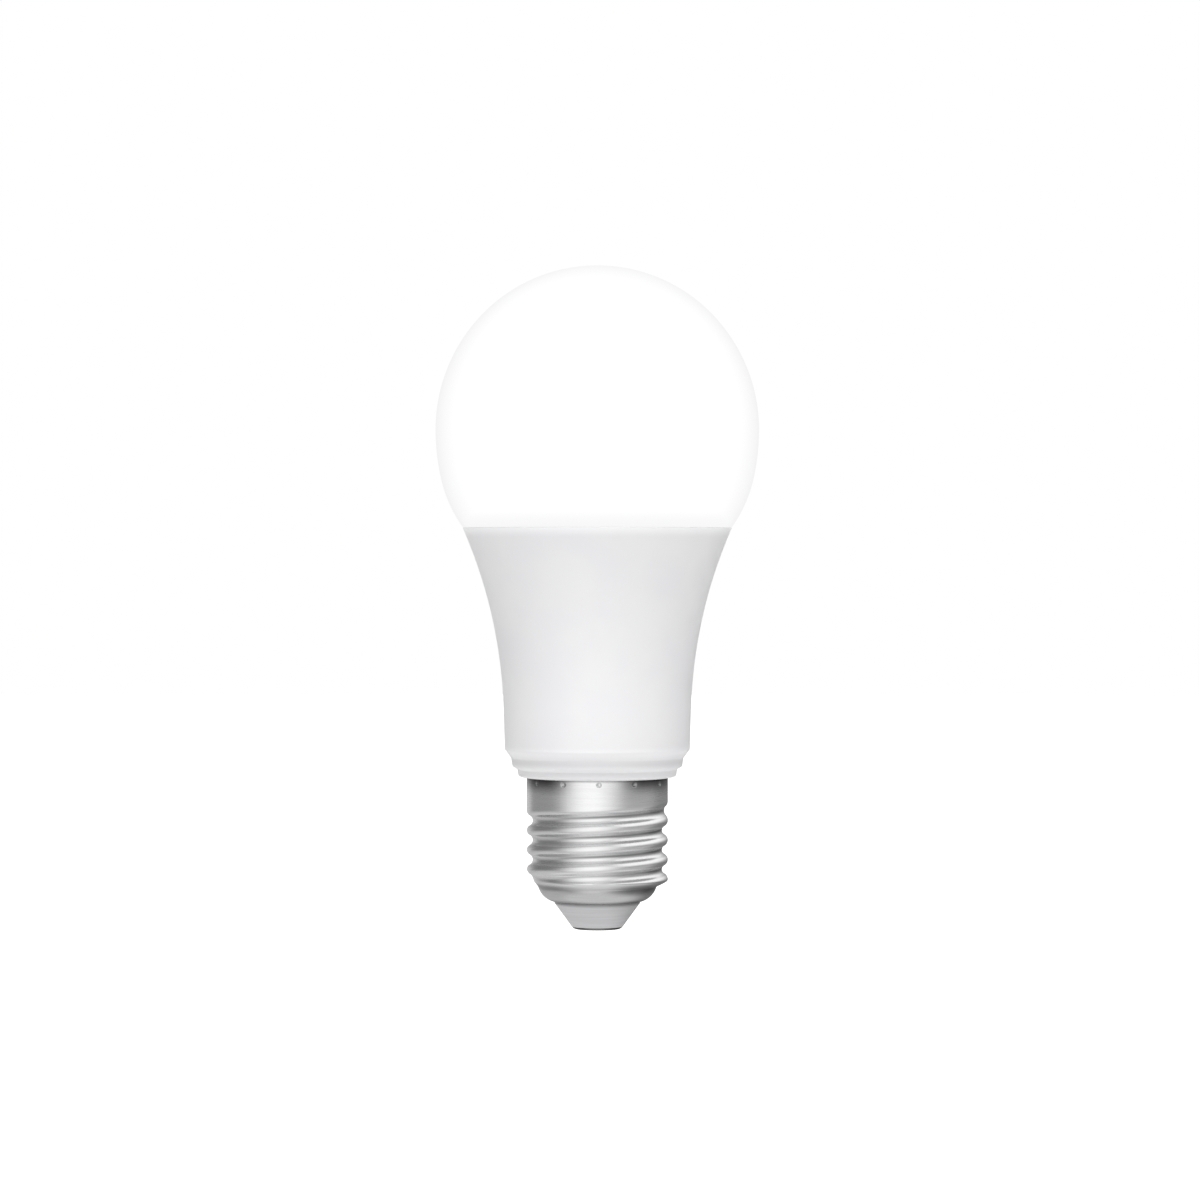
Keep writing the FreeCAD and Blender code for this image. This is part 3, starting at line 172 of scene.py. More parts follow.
EQUATOR = 92.63
SHOULDER_RADIUS = 30.75
SHOULDER_TURN = 45
WAIST_RADIUS = 41.0
WAIST_DROP = 9.2
THROAT_RADIUS = 25.0
GLOBE_WALL = 1.2
GLOBE_EDGE = 0.12
SEAM_GAP = 0.01
SKIRT_RADIUS = 22.2
SKIRT_WALL = 0.9
SNAP_RIDGE = 0.35
SNAP_PEAK = 0.6
SNAP_TOP = 1.0
INSIDE_FOOT = 1.5
OUTSIDE_STEP = 1.5
INSIDE_STEP = 3


def globe_section(depth, foot, step):
    """The globe's wall at a depth under its surface, from the crown down to the height of foot."""
    inset = SHOULDER_RADIUS - GLOBE_RADIUS
    crown_center = (0.0, EQUATOR + inset)
    waist_center = (GLOBE_RADIUS - WAIST_RADIUS, EQUATOR)
    waist_turn = math.degrees(math.asin(WAIST_DROP / WAIST_RADIUS))
    reach = WAIST_RADIUS - THROAT_RADIUS
    throat_center = (waist_center[0] + reach * math.cos(math.radians(waist_turn)),
                     waist_center[1] - reach * math.sin(math.radians(waist_turn)))
    foot_turn = math.degrees(math.asin((throat_center[1] - foot) / (THROAT_RADIUS - depth)))
    points = arc(crown_center, GLOBE_TOP - crown_center[1] - depth, 90, SHOULDER_TURN, step)
    points += arc((-inset, EQUATOR), SHOULDER_RADIUS - depth, SHOULDER_TURN, 0, step)[1:]
    points += arc(waist_center, WAIST_RADIUS - depth, 0, -waist_turn, step)[1:]
    points += arc(throat_center, THROAT_RADIUS - depth, -waist_turn, -foot_turn, step)[1:]
    return points


def build_diffuser():
    """The globe, with a snap-in skirt that reaches down inside the housing."""
    outer = globe_section(0.0, SEAM + GLOBE_EDGE, OUTSIDE_STEP)
    skirt_inside = SKIRT_RADIUS - SKIRT_WALL
    edge = [
        (outer[-1][0] - GLOBE_EDGE, SEAM + SEAM_GAP),
        (SKIRT_RADIUS, SEAM + SEAM_GAP),
        (SKIRT_RADIUS, SKIRT_FOOT + SNAP_TOP),
        (SKIRT_RADIUS + SNAP_RIDGE, SKIRT_FOOT + SNAP_PEAK),
        (SKIRT_RADIUS, SKIRT_FOOT),
        (skirt_inside, SKIRT_FOOT),
        (skirt_inside, SEAM + GLOBE_WALL / 2),
    ]
    inner = globe_section(GLOBE_WALL, SEAM + INSIDE_FOOT, INSIDE_STEP)
    return turned_piece("globe", outer + edge + inner[::-1])


FLARE_RADIUS = 89.7
FLARE_CENTER = (107.06, 38.31)
FLARE_FOOT = 41.0
FLARE_EDGE = 0.15
HOUSING_FOOT = 33.36
HOUSING_WALL = 1.5
COLLAR_RADIUS = 17.17
SEAT_RADIUS = 22.3
SEAT_STEP = 0.7
SEAT_DEPTH = 0.6
GROOVE_STEP = 0.5
GROOVE_FOOT = 2.13
GROOVE_TOP = 0.8
NECK_OUTSIDE = 12.75
NECK_INSIDE = 11.2
SLEEVE_OUTSIDE = 11.62
SLEEVE_INSIDE = 10.2
SLEEVE_FOOT = 12.0


def flare(height, inset=0.0):
    """Radius of the housing's flare at a height."""
    rise = height - FLARE_CENTER[1]
    return FLARE_CENTER[0] - math.sqrt((FLARE_RADIUS + inset) ** 2 - rise ** 2)


def flare_points(low, high, inset, count):
    """Evenly spaced points up the flare between two heights."""
    heights = [low + (high - low) * index / count for index in range(count + 1)]
    return [(flare(height, inset), height) for height in heights]


def build_housing():
    """The flared body: a grooved seat for the globe, a stepped foot, and a sleeve down into the cap.

    The section runs in over the rim, down the inside, round the sleeve and up the outside."""
    groove_foot = SEAM - GROOVE_FOOT
    rim = [
        (flare(SEAM) - FLARE_EDGE, SEAM),
        (SEAT_RADIUS + SEAT_STEP, SEAM),
        (SEAT_RADIUS + SEAT_STEP, SEAM - SEAT_DEPTH),
        (SEAT_RADIUS, SEAM - SEAT_DEPTH),
        (SEAT_RADIUS, groove_foot + GROOVE_TOP),
        (SEAT_RADIUS + GROOVE_STEP, groove_foot + 0.6),
        (SEAT_RADIUS + GROOVE_STEP, groove_foot),
    ]
    inside = flare_points(FLARE_FOOT, groove_foot - 0.5, HOUSING_WALL, 20)[::-1]
    inside += [
        (15.6, HOUSING_FOOT + 0.24),
        (14.3, HOUSING_FOOT - 1.36),
        (13.2, HOUSING_FOOT - 2.76),
        (NECK_INSIDE, CAP_TOP + 1.5),
        (NECK_INSIDE, 24.5),
        (SLEEVE_INSIDE, 23.8),
        (SLEEVE_INSIDE, SLEEVE_FOOT),
        (SLEEVE_OUTSIDE, SLEEVE_FOOT),
        (SLEEVE_OUTSIDE, 23.9),
        (NECK_OUTSIDE, 24.8),
        (NECK_OUTSIDE, CAP_TOP),
    ]
    steps = [
        (13.2, CAP_TOP, 0.06),
        (14.65, CAP_TOP + 0.25, 0.6),
        (14.85, CAP_TOP + 1.6, 0.3),
        (15.75, CAP_TOP + 2.1, 0.45),
        (16.0, HOUSING_FOOT - 1.6, 0.7),
        (COLLAR_RADIUS, HOUSING_FOOT, 0.7),
    ]
    outside = flare_points(FLARE_FOOT, SEAM - FLARE_EDGE, 0.0, 48)
    return turned_piece("body_cover", soften(rim + inside + steps + outside), sharp_angle=50)


# The cap's rolled thread, the bowl at its foot and the neck that joins them.
PITCH = 3.629
THREAD_START = 12.9
THREAD_ROOT = 12.0
GROOVE_FADE = (21.4, 22.8)
BOWL_RADIUS = 3.91
BOWL_CENTER = (7.23, 8.92)
BOWL_JOINT = 7.9
BOWL_LIP = 8.0
NECK_SLOPE = 1.45
NECK_SLOPE_SWING = 0.65
NECK_BLEND = 0.6
CAP_SHEET = 0.3

# The staking dimples round the cap's skirt.
DIMPLES = 12
DIMPLE_TURN = 1.5
DIMPLE_HEIGHT = 27.35
DIMPLE_BALL = 0.5
DIMPLE_WALL = 0.22
DIMPLE_CENTER_OUT = 0.15
DIMPLE_HALF_WIDTH = 0.8

# How fine the cap's mesh is.
COLUMNS_ACROSS_DIMPLE = 14
COLUMNS_BETWEEN_DIMPLES = 8
THREAD_ROWS_EVERY = 0.16
DIMPLE_ROWS_EVERY = 0.08
EDGE_ROWS_EVERY = 0.1


def smooth_share(value, low, high):
    """How far a value is from low to high, eased at both ends."""
    share = min(1.0, max(0.0, (value - low) / (high - low)))
    return share * share * (3 - 2 * share)


def thread_radius(angle, height):
    """Rolled round thread: crest and root arcs of one radius, the last groove running out."""
    depth = CAP_RADIUS - THREAD_ROOT
    ball = (depth ** 2 + (PITCH / 2) ** 2) / (4 * depth)
    above_crest = (height - THREAD_START - PITCH * angle / (2 * math.pi)) % PITCH
    offset = min(above_crest, PITCH - above_crest)
    if offset <= PITCH / 4:
        dip = ball - math.sqrt(ball ** 2 - offset ** 2)
    else:
        dip = depth - ball + math.sqrt(ball ** 2 - (PITCH / 2 - offset) ** 2)
    groove_middle = height - above_crest + PITCH / 2
    return CAP_RADIUS - dip * (1 - smooth_share(groove_middle, *GROOVE_FADE))


def bowl_point(turn):
    """Radius and height on the bowl's arc, turned down from the horizontal."""
    return BOWL_CENTER[0] + BOWL_RADIUS * math.cos(turn), BOWL_CENTER[1] - BOWL_RADIUS * math.sin(turn)


BOWL_JOINT_TURN = math.asin((BOWL_CENTER[1] - BOWL_JOINT) / BOWL_RADIUS)
BOWL_LIP_TURN = math.acos((BOWL_LIP - BOWL_CENTER[0]) / BOWL_RADIUS)


def cap_wall_radius(angle, height):
    """Outer radius of the cap above the bowl: the thread, necking in at its foot."""
    wall = thread_radius(angle, height)
    slope = NECK_SLOPE + NECK_SLOPE_SWING * math.cos(angle)
    neck = bowl_point(BOWL_JOINT_TURN)[0] + slope * (height - BOWL_JOINT)
    overlap = max(NECK_BLEND - abs(wall - neck), 0.0) / NECK_BLEND
    return min(wall, neck) - overlap ** 2 * NECK_BLEND / 4


def cap_point(angle, travel):
    """Radius and height along the cap's outer section: the bowl's arc, then the wall."""
    if travel >= BOWL_JOINT:
        return cap_wall_radius(angle, travel), travel
    return bowl_point(BOWL_JOINT_TURN + (BOWL_JOINT - travel) / BOWL_RADIUS)


def cap_inside_point(angle, travel):
    """The outer section moved inward, square to itself, by the sheet's thickness."""
    step = 0.01
    before, after = cap_point(angle, travel - step), cap_point(angle, travel + step)
    slope = Vector((after[0] - before[0], after[1] - before[1])).normalized()
    radius, height = cap_point(angle, travel)
    return radius - CAP_SHEET * slope.y, height + CAP_SHEET * slope.x


def dimpled(angle, radius, height, depth):
    """Press a staking dimple into the skirt where the point lies under its ball."""
    spacing = 2 * math.pi / DIMPLES
    offset = (angle - math.radians(DIMPLE_TURN) + spacing / 2) % spacing - spacing / 2
    distance = math.hypot(offset * CAP_RADIUS, height - DIMPLE_HEIGHT)
    ball = DIMPLE_BALL + depth
    if distance >= ball:
        return radius
    return min(radius, CAP_RADIUS + DIMPLE_CENTER_OUT - math.sqrt(ball ** 2 - distance ** 2))


def cap_angles():
    """Column angles round the cap, closer together across each dimple."""
    spacing, half = 2 * math.pi / DIMPLES, DIMPLE_HALF_WIDTH / CAP_RADIUS
    angles = []
    for index in range(DIMPLES):
        center = math.radians(DIMPLE_TURN) + spacing * index
        for start, width, count in ((center - half, 2 * half, COLUMNS_ACROSS_DIMPLE),
                                    (center + half, spacing - 2 * half, COLUMNS_BETWEEN_DIMPLES)):
            angles += [start + width * column / count for column in range(count)]
    return angles


def cap_travels():
    """Row positions from the lip to the top edge, closer together across the dimples."""
    start = BOWL_JOINT - BOWL_RADIUS * (BOWL_LIP_TURN - BOWL_JOINT_TURN)
    reach = DIMPLE_BALL + DIMPLE_WALL
    dimple_low, dimple_high = DIMPLE_HEIGHT - reach, DIMPLE_HEIGHT + reach
    travels = []
    for low, high, step in ((start, dimple_low, THREAD_ROWS_EVERY),
                            (dimple_low, dimple_high, DIMPLE_ROWS_EVERY),
                            (dimple_high, CAP_TOP, EDGE_ROWS_EVERY)):
        count = max(1, round((high - low) / step))
        travels += [low + (high - low) * row / count for row in range(count)]
    return travels + [CAP_TOP]


def build_screw_shell():
    """The rolled cap: an outer and an inner skin on one grid, joined along the lip and the top edge."""
    angles, travels = cap_angles(), cap_travels()
    outer, inner = [], []
    for travel in travels:
        for angle in angles:
            radius, height = cap_point(angle, travel)
            radius = dimpled(angle, radius, height, 0.0)
            outer.append((radius * math.cos(angle), radius * math.sin(angle), height))
            radius, height = cap_inside_point(angle, travel)
            height = min(height, CAP_TOP)
            radius = dimpled(angle, radius, height, DIMPLE_WALL)
            inner.append((radius * math.cos(angle), radius * math.sin(angle), height))
    columns, rows, total = len(angles), len(travels), len(outer)
    faces = []
    for row in range(rows - 1):
        for column in range(columns):
            below, below_right = row * columns + column, row * columns + (column + 1) % columns
            face = (below, below_right, below_right + columns, below + columns)
            faces.append(face)
            faces.append(tuple(total + corner for corner in reversed(face)))
    last = (rows - 1) * columns
    for column in range(columns):
        right = (column + 1) % columns
        faces.append((column, total + column, total + right, right))
        faces.append((last + right, total + last + right, total + last + column, last + column))
    return mesh_piece("screw_cap", outer + inner, faces, sharp_angle=60)


CONTACT_RADIUS = 4.7
CONTACT_FLAT = 3.9
CONTACT_THICKNESS = 0.45
CONTACT_RING = 1.4
STEM_RADIUS = 1.15
STEM_TOP = 9.2
STEM_BEVEL = 0.3
CONE_BORE = 1.65
CONE_SHOULDER = 4.85
CONE_TOP = 8.6
PLAY = 0.05


def build_insulator():
    """The cone between contact and cap, its upper side bedded in the cap's bowl."""
    lip = BOWL_LIP - PLAY
    sweep = BOWL_RADIUS - CAP_SHEET - PLAY
    start = -math.degrees(math.acos((lip - BOWL_CENTER[0]) / sweep))
    end = -math.degrees(math.asin((BOWL_CENTER[1] - CONE_TOP) / sweep))
    profile = [
        (CONE_BORE, CONTACT_THICKNESS),
        (CONTACT_RADIUS + PLAY, CONTACT_THICKNESS, 0.12),
        (lip, CONE_SHOULDER, 0.15),
    ]
    profile += arc(BOWL_CENTER, sweep, start, end, 6)
    profile += [(CONE_BORE, CONE_TOP)]
    return turned_piece("insulator_cone", soften(profile), columns=128)


def build_contact():
    """The centre contact: a flat button with a rolled-up edge, on a stem through the cone."""
    run = CONTACT_RADIUS - CONTACT_FLAT
    radius = (run ** 2 + CONTACT_THICKNESS ** 2) / (2 * CONTACT_THICKNESS)
    sweep = math.degrees(math.asin(run / radius))
    profile = [(0.0, 0.0), (CONTACT_RING, 0.0)]
    profile += arc((CONTACT_FLAT, radius), radius, -90, -90 + sweep, 3)
    profile += [
        (STEM_RADIUS, CONTACT_THICKNESS),
        (STEM_RADIUS, STEM_TOP - STEM_BEVEL),
        (STEM_RADIUS - STEM_BEVEL, STEM_TOP),
        (0.0, STEM_TOP),
    ]
    return turned_piece("contact_button", profile, columns=128)


# ---------------------------------------------------------------- materials

# How far a texture is drawn out along X, Y and Z. This one is the same every way.
EVEN = (1.0, 1.0, 1.0)


class Nodes:
    """Node helpers that the materials and the world share. Each works on self.tree."""

    def node(self, kind):
        return self.tree.nodes.new("ShaderNode" + kind)

    def link(self, output, socket):
        self.tree.links.new(output, socket)

    def math(self, operation, first, second=0.0):
        """One sum. Each value is a number or a socket."""
        node = self.node("Math")
        node.operation = operation
        for index, value in enumerate((first, second)):
            if isinstance(value, (int, float)):
                node.inputs[index].default_value = value
            else:
                self.link(value, node.inputs[index])
        return node.outputs["Value"]

    def spread(self, source, low, high, to_low, to_high):
        """Map one range of a value on to another, smoothly and clamped."""
        node = self.node("MapRange")
        node.interpolation_type = "SMOOTHSTEP"
        for name, value in (("From Min", low), ("From Max", high), ("To Min", to_low), ("To Max", to_high)):
            node.inputs[name].default_value = value
        self.link(source, node.inputs["Value"])
        return node.outputs["Result"]


class Finish(Nodes):
    """A procedural material: one Principled shader with noise, bump and ramps in object space."""

    def __init__(self, name, color, roughness, metallic=0.0):
        self.material = bpy.data.materials.new(name)
        self.material.use_nodes = True
        self.tree = self.material.node_tree
        self.tree.nodes.clear()
        self.shader = self.node("BsdfPrincipled")
        self.link(self.shader.outputs["BSDF"], self.node("OutputMaterial").inputs["Surface"])
        self.set("Base Color", (*color, 1.0))
        self.set("Roughness", roughness)
        self.set("Metallic", metallic)
        self.place = self.node("TexCoord")
        self.normal = None

    def set(self, socket, value):
        self.shader.inputs[socket].default_value = value

    def noise(self, size_mm, detail, stretch):
        """Noise whose features are about size_mm across, longer along the stretched axes."""
        mapping = self.node("Mapping")
        mapping.inputs["Scale"].default_value = [1.0 / (size_mm * MM * share) for share in stretch]
        noise = self.node("TexNoise")
        noise.inputs["Scale"].default_value = 1.0
        noise.inputs["Detail"].default_value = detail
        self.link(self.place.outputs["Object"], mapping.inputs["Vector"])
        self.link(mapping.outputs["Vector"], noise.inputs["Vector"])
        return noise.outputs["Fac"]

    def along(self, output, name):
        """One axis of a vector that the coordinates node gives."""
        split = self.node("SeparateXYZ")
        self.link(self.place.outputs[output], split.inputs["Vector"])
        return split.outputs[name]

    def axis(self, name):
        """Position along one of the bulb's own axes, in millimetres. Z starts at the contact's face."""
        return self.math("MULTIPLY", self.along("Object", name), 1.0 / MM)

    def toward(self, near, far, value):
        """Ease from 1 at one X to a value at another, both in millimetres."""
        side = self.spread(self.axis("X"), near, far, 0.0, 1.0)
        return self.math("ADD", self.math("MULTIPLY", side, value), self.math("SUBTRACT", 1.0, side))

    def band(self, middle, reach, share):
        """A value that is share at one height and eases back to 1 within reach of it."""
        away = self.math("ABSOLUTE", self.math("SUBTRACT", self.axis("Z"), middle))
        return self.spread(away, 0.0, reach, share, 1.0)

    def painted_shade_under_thread(self, middle, reach, depth, left_share):
        """Painted shade: a value that dips by depth under each turn of the cap's thread, and by less on the
        left.

        Middle and reach are shares of the pitch, counted up from the crest below."""
        turn = self.math("DIVIDE", self.math("ARCTAN2", self.axis("Y"), self.axis("X")), 2 * math.pi)
        rise = self.math("DIVIDE", self.math("SUBTRACT", self.axis("Z"), THREAD_START), PITCH)
        above_crest = self.math("FLOORED_MODULO", self.math("SUBTRACT", rise, turn), 1.0)
        away = self.math("ABSOLUTE", self.math("SUBTRACT", above_crest, middle))
        dip = self.spread(away, 0.0, reach, depth, 0.0)
        foot_low, foot_high = THREAD_START - 3.0, THREAD_START - 1.5
        fade_low, fade_high = GROOVE_FADE[0], GROOVE_FADE[1] + 0.4
        for name, low, high, to_low, to_high in (("Z", foot_low, foot_high, 0.0, 1.0),
                                                 ("Z", fade_low, fade_high, 1.0, 0.0),
                                                 ("X", -11.0, 1.0, left_share, 1.0)):
            dip = self.math("MULTIPLY", dip, self.spread(self.axis(name), low, high, to_low, to_high))
        return self.math("SUBTRACT", 1.0, dip)

    def blend(self, share, first, second):
        """A colour between two."""
        node = self.node("Mix")
        node.data_type = "RGBA"
        self.link(share, node.inputs["Factor"])
        for name, color in (("A", first), ("B", second)):
            socket = [item for item in node.inputs if item.name == name and item.type == "RGBA"][0]
            socket.default_value = (*color, 1.0)
        return [item for item in node.outputs if item.type == "RGBA"][0]

    def color(self, output):
        """Take the base colour from a socket."""
        self.link(output, self.shader.inputs["Base Color"])
        return self

    def dull(self, share):
        """Multiply the colour already there by a value."""
        node = self.node("VectorMath")
        node.operation = "SCALE"
        self.link(self.shader.inputs["Base Color"].links[0].from_socket, node.inputs["Vector"])
        self.link(share, node.inputs["Scale"])
        return self.color(node.outputs["Vector"])

    def mottle(self, first, second, size_mm, stretch=EVEN):
        """Colour that drifts between two tones."""
        share = self.spread(self.noise(size_mm, 4.0, stretch), 0.35, 0.65, 0.0, 1.0)
        return self.color(self.blend(share, first, second))

    def wear(self, low, high, size_mm, stretch=EVEN):
        """Roughness that drifts between two values."""
        result = self.spread(self.noise(size_mm, 5.0, stretch), 0.3, 0.7, low, high)
        self.link(result, self.shader.inputs["Roughness"])
        return self

    def bump(self, source, depth_mm):
        """Raise the surface by a value, on top of any bump already there."""
        node = self.node("Bump")
        node.inputs["Distance"].default_value = depth_mm * MM
        self.link(source, node.inputs["Height"])
        if self.normal is not None:
            self.link(self.normal, node.inputs["Normal"])
        self.normal = node.outputs["Normal"]
        self.link(self.normal, self.shader.inputs["Normal"])
        return self

    def grain(self, size_mm, depth_mm, stretch=EVEN):
        """Fine unevenness of the surface."""
        return self.bump(self.noise(size_mm, 3.0, stretch), depth_mm)

    def bands(self, spacing_mm, direction, depth_mm):
        """Fine parallel ridges, such as turns of wire or rolled lines, one each spacing."""
        wave = self.node("TexWave")
        wave.bands_direction = direction
        wave.inputs["Scale"].default_value = math.pi / (10.0 * spacing_mm * MM)
        wave.inputs["Distortion"].default_value = 0.3
        self.link(self.place.outputs["Object"], wave.inputs["Vector"])
        self.bump(wave.outputs["Fac"], depth_mm)
        return wave.outputs["Fac"]

    def glow(self, strength):
        """Give off white light, by a value."""
        self.set("Emission Color", WHITE)
        self.link(strength, self.shader.inputs["Emission Strength"])


# How strongly the globe glows. The glow is painted by the surface's direction along Y, which is -1 to the
# front and 1 to the back, and by the height above the seam: brightest to the front, with painted shade at
# the rim, the back and near the seam.
GLOW_FRONT = 1.02
GLOW_RIM = 0.84
GLOW_SEAM = 0.88
GLOW_ABOVE_SEAM = 1.03
GLOW_BACK_SHARE = 0.58
COLOR_FRONT_SHARE = 0.15
FRONT_FACING = -0.85
BACK_FACING = 0.6
SEAM_FADE = 6.0


def opal_plastic():
    """The globe, lit: milky plastic whose glow is painted brightest to the front, with painted shade at its
    rim, its seam and its back.
    """
    finish = Finish("opal_plastic", (0.40, 0.40, 0.41), 0.36)
    finish.mottle((0.39, 0.39, 0.40), (0.41, 0.41, 0.42), 9.0)
    finish.wear(0.32, 0.42, 6.0)
    finish.grain(0.35, 0.004)
    finish.set("Specular IOR Level", 0.0)
    facing = finish.along("Normal", "Y")
    # The base colour is dimmed towards the front by the same facing, so that there the painted glow alone
    # shows.
    finish.dull(finish.spread(facing, 0.0, BACK_FACING, COLOR_FRONT_SHARE, 1.0))
    rim = finish.spread(facing, FRONT_FACING, 0.0, GLOW_FRONT, GLOW_RIM)
    seam = finish.spread(finish.axis("Z"), SEAM, SEAM + SEAM_FADE, GLOW_SEAM, GLOW_ABOVE_SEAM)
    back = finish.spread(facing, 0.0, BACK_FACING, 1.0, GLOW_BACK_SHARE)
    finish.glow(finish.math("MULTIPLY", finish.math("MINIMUM", rim, seam), back))
    return finish.material


# Painted light and shade in bands down the housing's foot: height and reach in millimetres, and the share
# left.
FOOT_LIGHT_AND_SHADE = (
    (33.0, 1.4, 1.09),
    (31.1, 0.9, 0.91),
)

# A painted glow on the housing at the seam, standing in for the globe's light shining through: how strong,
# and how far down.
SEAM_PAINTED_GLOW = 0.12
SEAM_PAINTED_GLOW_REACH = 2.0


def white_plastic():
    """The housing: satin moulded plastic, with a painted glow for a millimetre or two below the seam and
    painted light and shade in bands down its foot.
    """
    finish = Finish("white_plastic", (0.82, 0.82, 0.83), 0.42)
    finish.mottle((0.815, 0.815, 0.83), (0.835, 0.835, 0.84), 11.0)
    # Painted light and shade in bands down the foot.
    for middle, reach, share in FOOT_LIGHT_AND_SHADE:
        finish.dull(finish.band(middle, reach, share))
    finish.wear(0.38, 0.5, 4.0)
    finish.grain(0.22, 0.006)
    finish.grain(1.6, 0.006)
    finish.set("Subsurface Weight", 0.12)
    finish.set("Subsurface Radius", (1.0, 1.0, 1.0))
    finish.set("Subsurface Scale", 0.8 * MM)
    # A painted glow just below the seam.
    finish.glow(finish.spread(finish.axis("Z"), SEAM - SEAM_PAINTED_GLOW_REACH, SEAM, 0.0, SEAM_PAINTED_GLOW))
    return finish.material


# Bands of painted shade round the cap's bowl: height and reach in millimetres, the share left, and the two
# values of X between which the band comes in. None means that it goes all the way round.
BOWL_SHADE_BANDS = (
    (8.1, 0.9, 0.45, (-1.0, -8.0)),
    (7.9, 1.7, 0.3, (1.0, 7.0)),
    (5.1, 0.7, 0.72, None),
    (5.1, 0.9, 0.38, (0.0, -9.0)),
    (5.1, 0.9, 0.34, (0.0, 9.0)),
)
# Painted shade over the bowl: the share left, and how far above its joint it eases back to 1.
BOWL_SHADE_SHARE = 0.76
BOWL_SHADE_REACH = 1.1

# The painted shade under the housing's foot: the share left, how far down it goes, and for each side the
# two values of X between which it comes in. The top edge has more painted shade all the way round.
FOOT_SHADE = 0.12
FOOT_SHADE_REACH = 3.4
FOOT_SHADE_SIDES = ((-3.4, -9.5), (3.0, 8.5))
TOP_EDGE_SHARE = 0.5
TOP_EDGE_REACH = 0.5


def cap_nickel():
    """The screw cap: bright nickel on rolled sheet, with painted shade in the bowl, under each turn of the
    thread and under the housing's foot.
    """
    finish = Finish("cap_nickel", (0.74, 0.74, 0.745), 0.24, metallic=1.0)
    finish.mottle((0.72, 0.72, 0.725), (0.76, 0.76, 0.765), 1.2, stretch=(8.0, 8.0, 0.12))
    height = finish.axis("Z")
    # Painted shade: over the bowl, under each turn of the thread, under the housing's foot, along the top
    # edge and in bands round the bowl.
    finish.dull(finish.spread(height, BOWL_JOINT, BOWL_JOINT + BOWL_SHADE_REACH, BOWL_SHADE_SHARE, 1.0))
    finish.dull(finish.painted_shade_under_thread(middle=0.585, reach=0.12, depth=0.62, left_share=0.15))
    foot = finish.spread(height, CAP_TOP - FOOT_SHADE_REACH, CAP_TOP, 1.0, FOOT_SHADE)
    for near, far in FOOT_SHADE_SIDES:
        finish.dull(finish.toward(near, far, foot))
    finish.dull(finish.spread(height, CAP_TOP - TOP_EDGE_REACH, CAP_TOP, 1.0, TOP_EDGE_SHARE))
    for middle, reach, share, sides in BOWL_SHADE_BANDS:
        tone = finish.band(middle, reach, share)
        finish.dull(finish.toward(*sides, tone) if sides else tone)
    finish.wear(0.26, 0.3, 2.0, stretch=(6.0, 6.0, 0.2))
    finish.grain(0.5, 0.0006, stretch=(12.0, 12.0, 0.12))
    return finish.material


def plain_plastic(name, color, roughness, grain_mm=0.3, depth_mm=0.006):
    """Moulded plastic with a slight drift of tone and a fine grain."""
    dark = tuple(value * 0.93 for value in color)
    finish = Finish(name, color, roughness)
    finish.mottle(dark, color, 3.0)
    finish.wear(roughness - 0.06, roughness + 0.08, 2.0)
    finish.grain(grain_mm, depth_mm)
    return finish


def plain_metal(name, color, roughness, stretch=EVEN, depth_mm=0.003):
    """Bare metal with drifting roughness and fine lines along the stretched axes."""
    dark = tuple(value * 0.88 for value in color)
    finish = Finish(name, color, roughness, metallic=1.0)
    finish.mottle(dark, color, 2.0, stretch=stretch)
    finish.wear(roughness - 0.08, roughness + 0.12, 1.5, stretch)
    finish.grain(0.25, depth_mm, stretch)
    return finish


def turned_insulator():
    """The cone round the contact: pale grey moulding with fine lines round it, shaded at top and right."""
    finish = plain_plastic("cap_insulator", (0.52, 0.52, 0.53), 0.42)
    finish.mottle((0.49, 0.49, 0.50), (0.54, 0.54, 0.55), 1.0, stretch=(10.0, 10.0, 0.2))
    finish.dull(finish.spread(finish.axis("Z"), CONE_SHOULDER - 0.55, CONE_SHOULDER + 0.05, 1.0, 0.55))
    finish.dull(finish.toward(1.0, 8.5, 0.6))
    return finish.grain(0.6, 0.02, stretch=(10.0, 10.0, 0.3)).material


def side_darkened_contact():
    """The centre contact: dull plated metal, darker along X to either side of its middle, out to its rolled
    edge.
    """
    finish = plain_metal("contact_metal", (0.20, 0.198, 0.195), 0.34)
    off_center = finish.math("ABSOLUTE", finish.axis("X"))
    return finish.dull(finish.spread(off_center, 0.8, 3.2, 1.0, 0.2)).material


# The copper tracks' spacing and edges, and the weave of the board.
TRACK_PITCH = 3.2
TRACK_EDGES = (0.09, 0.13)
WEAVE_PITCH = 0.5
WEAVE_DEPTH = 0.004


def circuit_board(name, mask, track):
    """Solder mask over raised copper tracks, with the glass weave showing faintly through."""
    finish = Finish(name, mask, 0.32)
    cells = finish.node("TexVoronoi")
    cells.feature = "DISTANCE_TO_EDGE"
    cells.inputs["Scale"].default_value = 1.0 / (TRACK_PITCH * MM)
    finish.link(finish.place.outputs["Object"], cells.inputs["Vector"])
    tracks = finish.spread(cells.outputs["Distance"], *TRACK_EDGES, 0.0, 1.0)
    finish.color(finish.blend(tracks, mask, track))
    finish.wear(0.26, 0.4, 1.5)
    finish.bump(tracks, 0.03)
    for direction in ("X", "Z"):
        finish.bands(WEAVE_PITCH, direction, WEAVE_DEPTH)
    finish.set("Coat Weight", 0.4)
    finish.set("Coat Roughness", 0.15)
    return finish.material


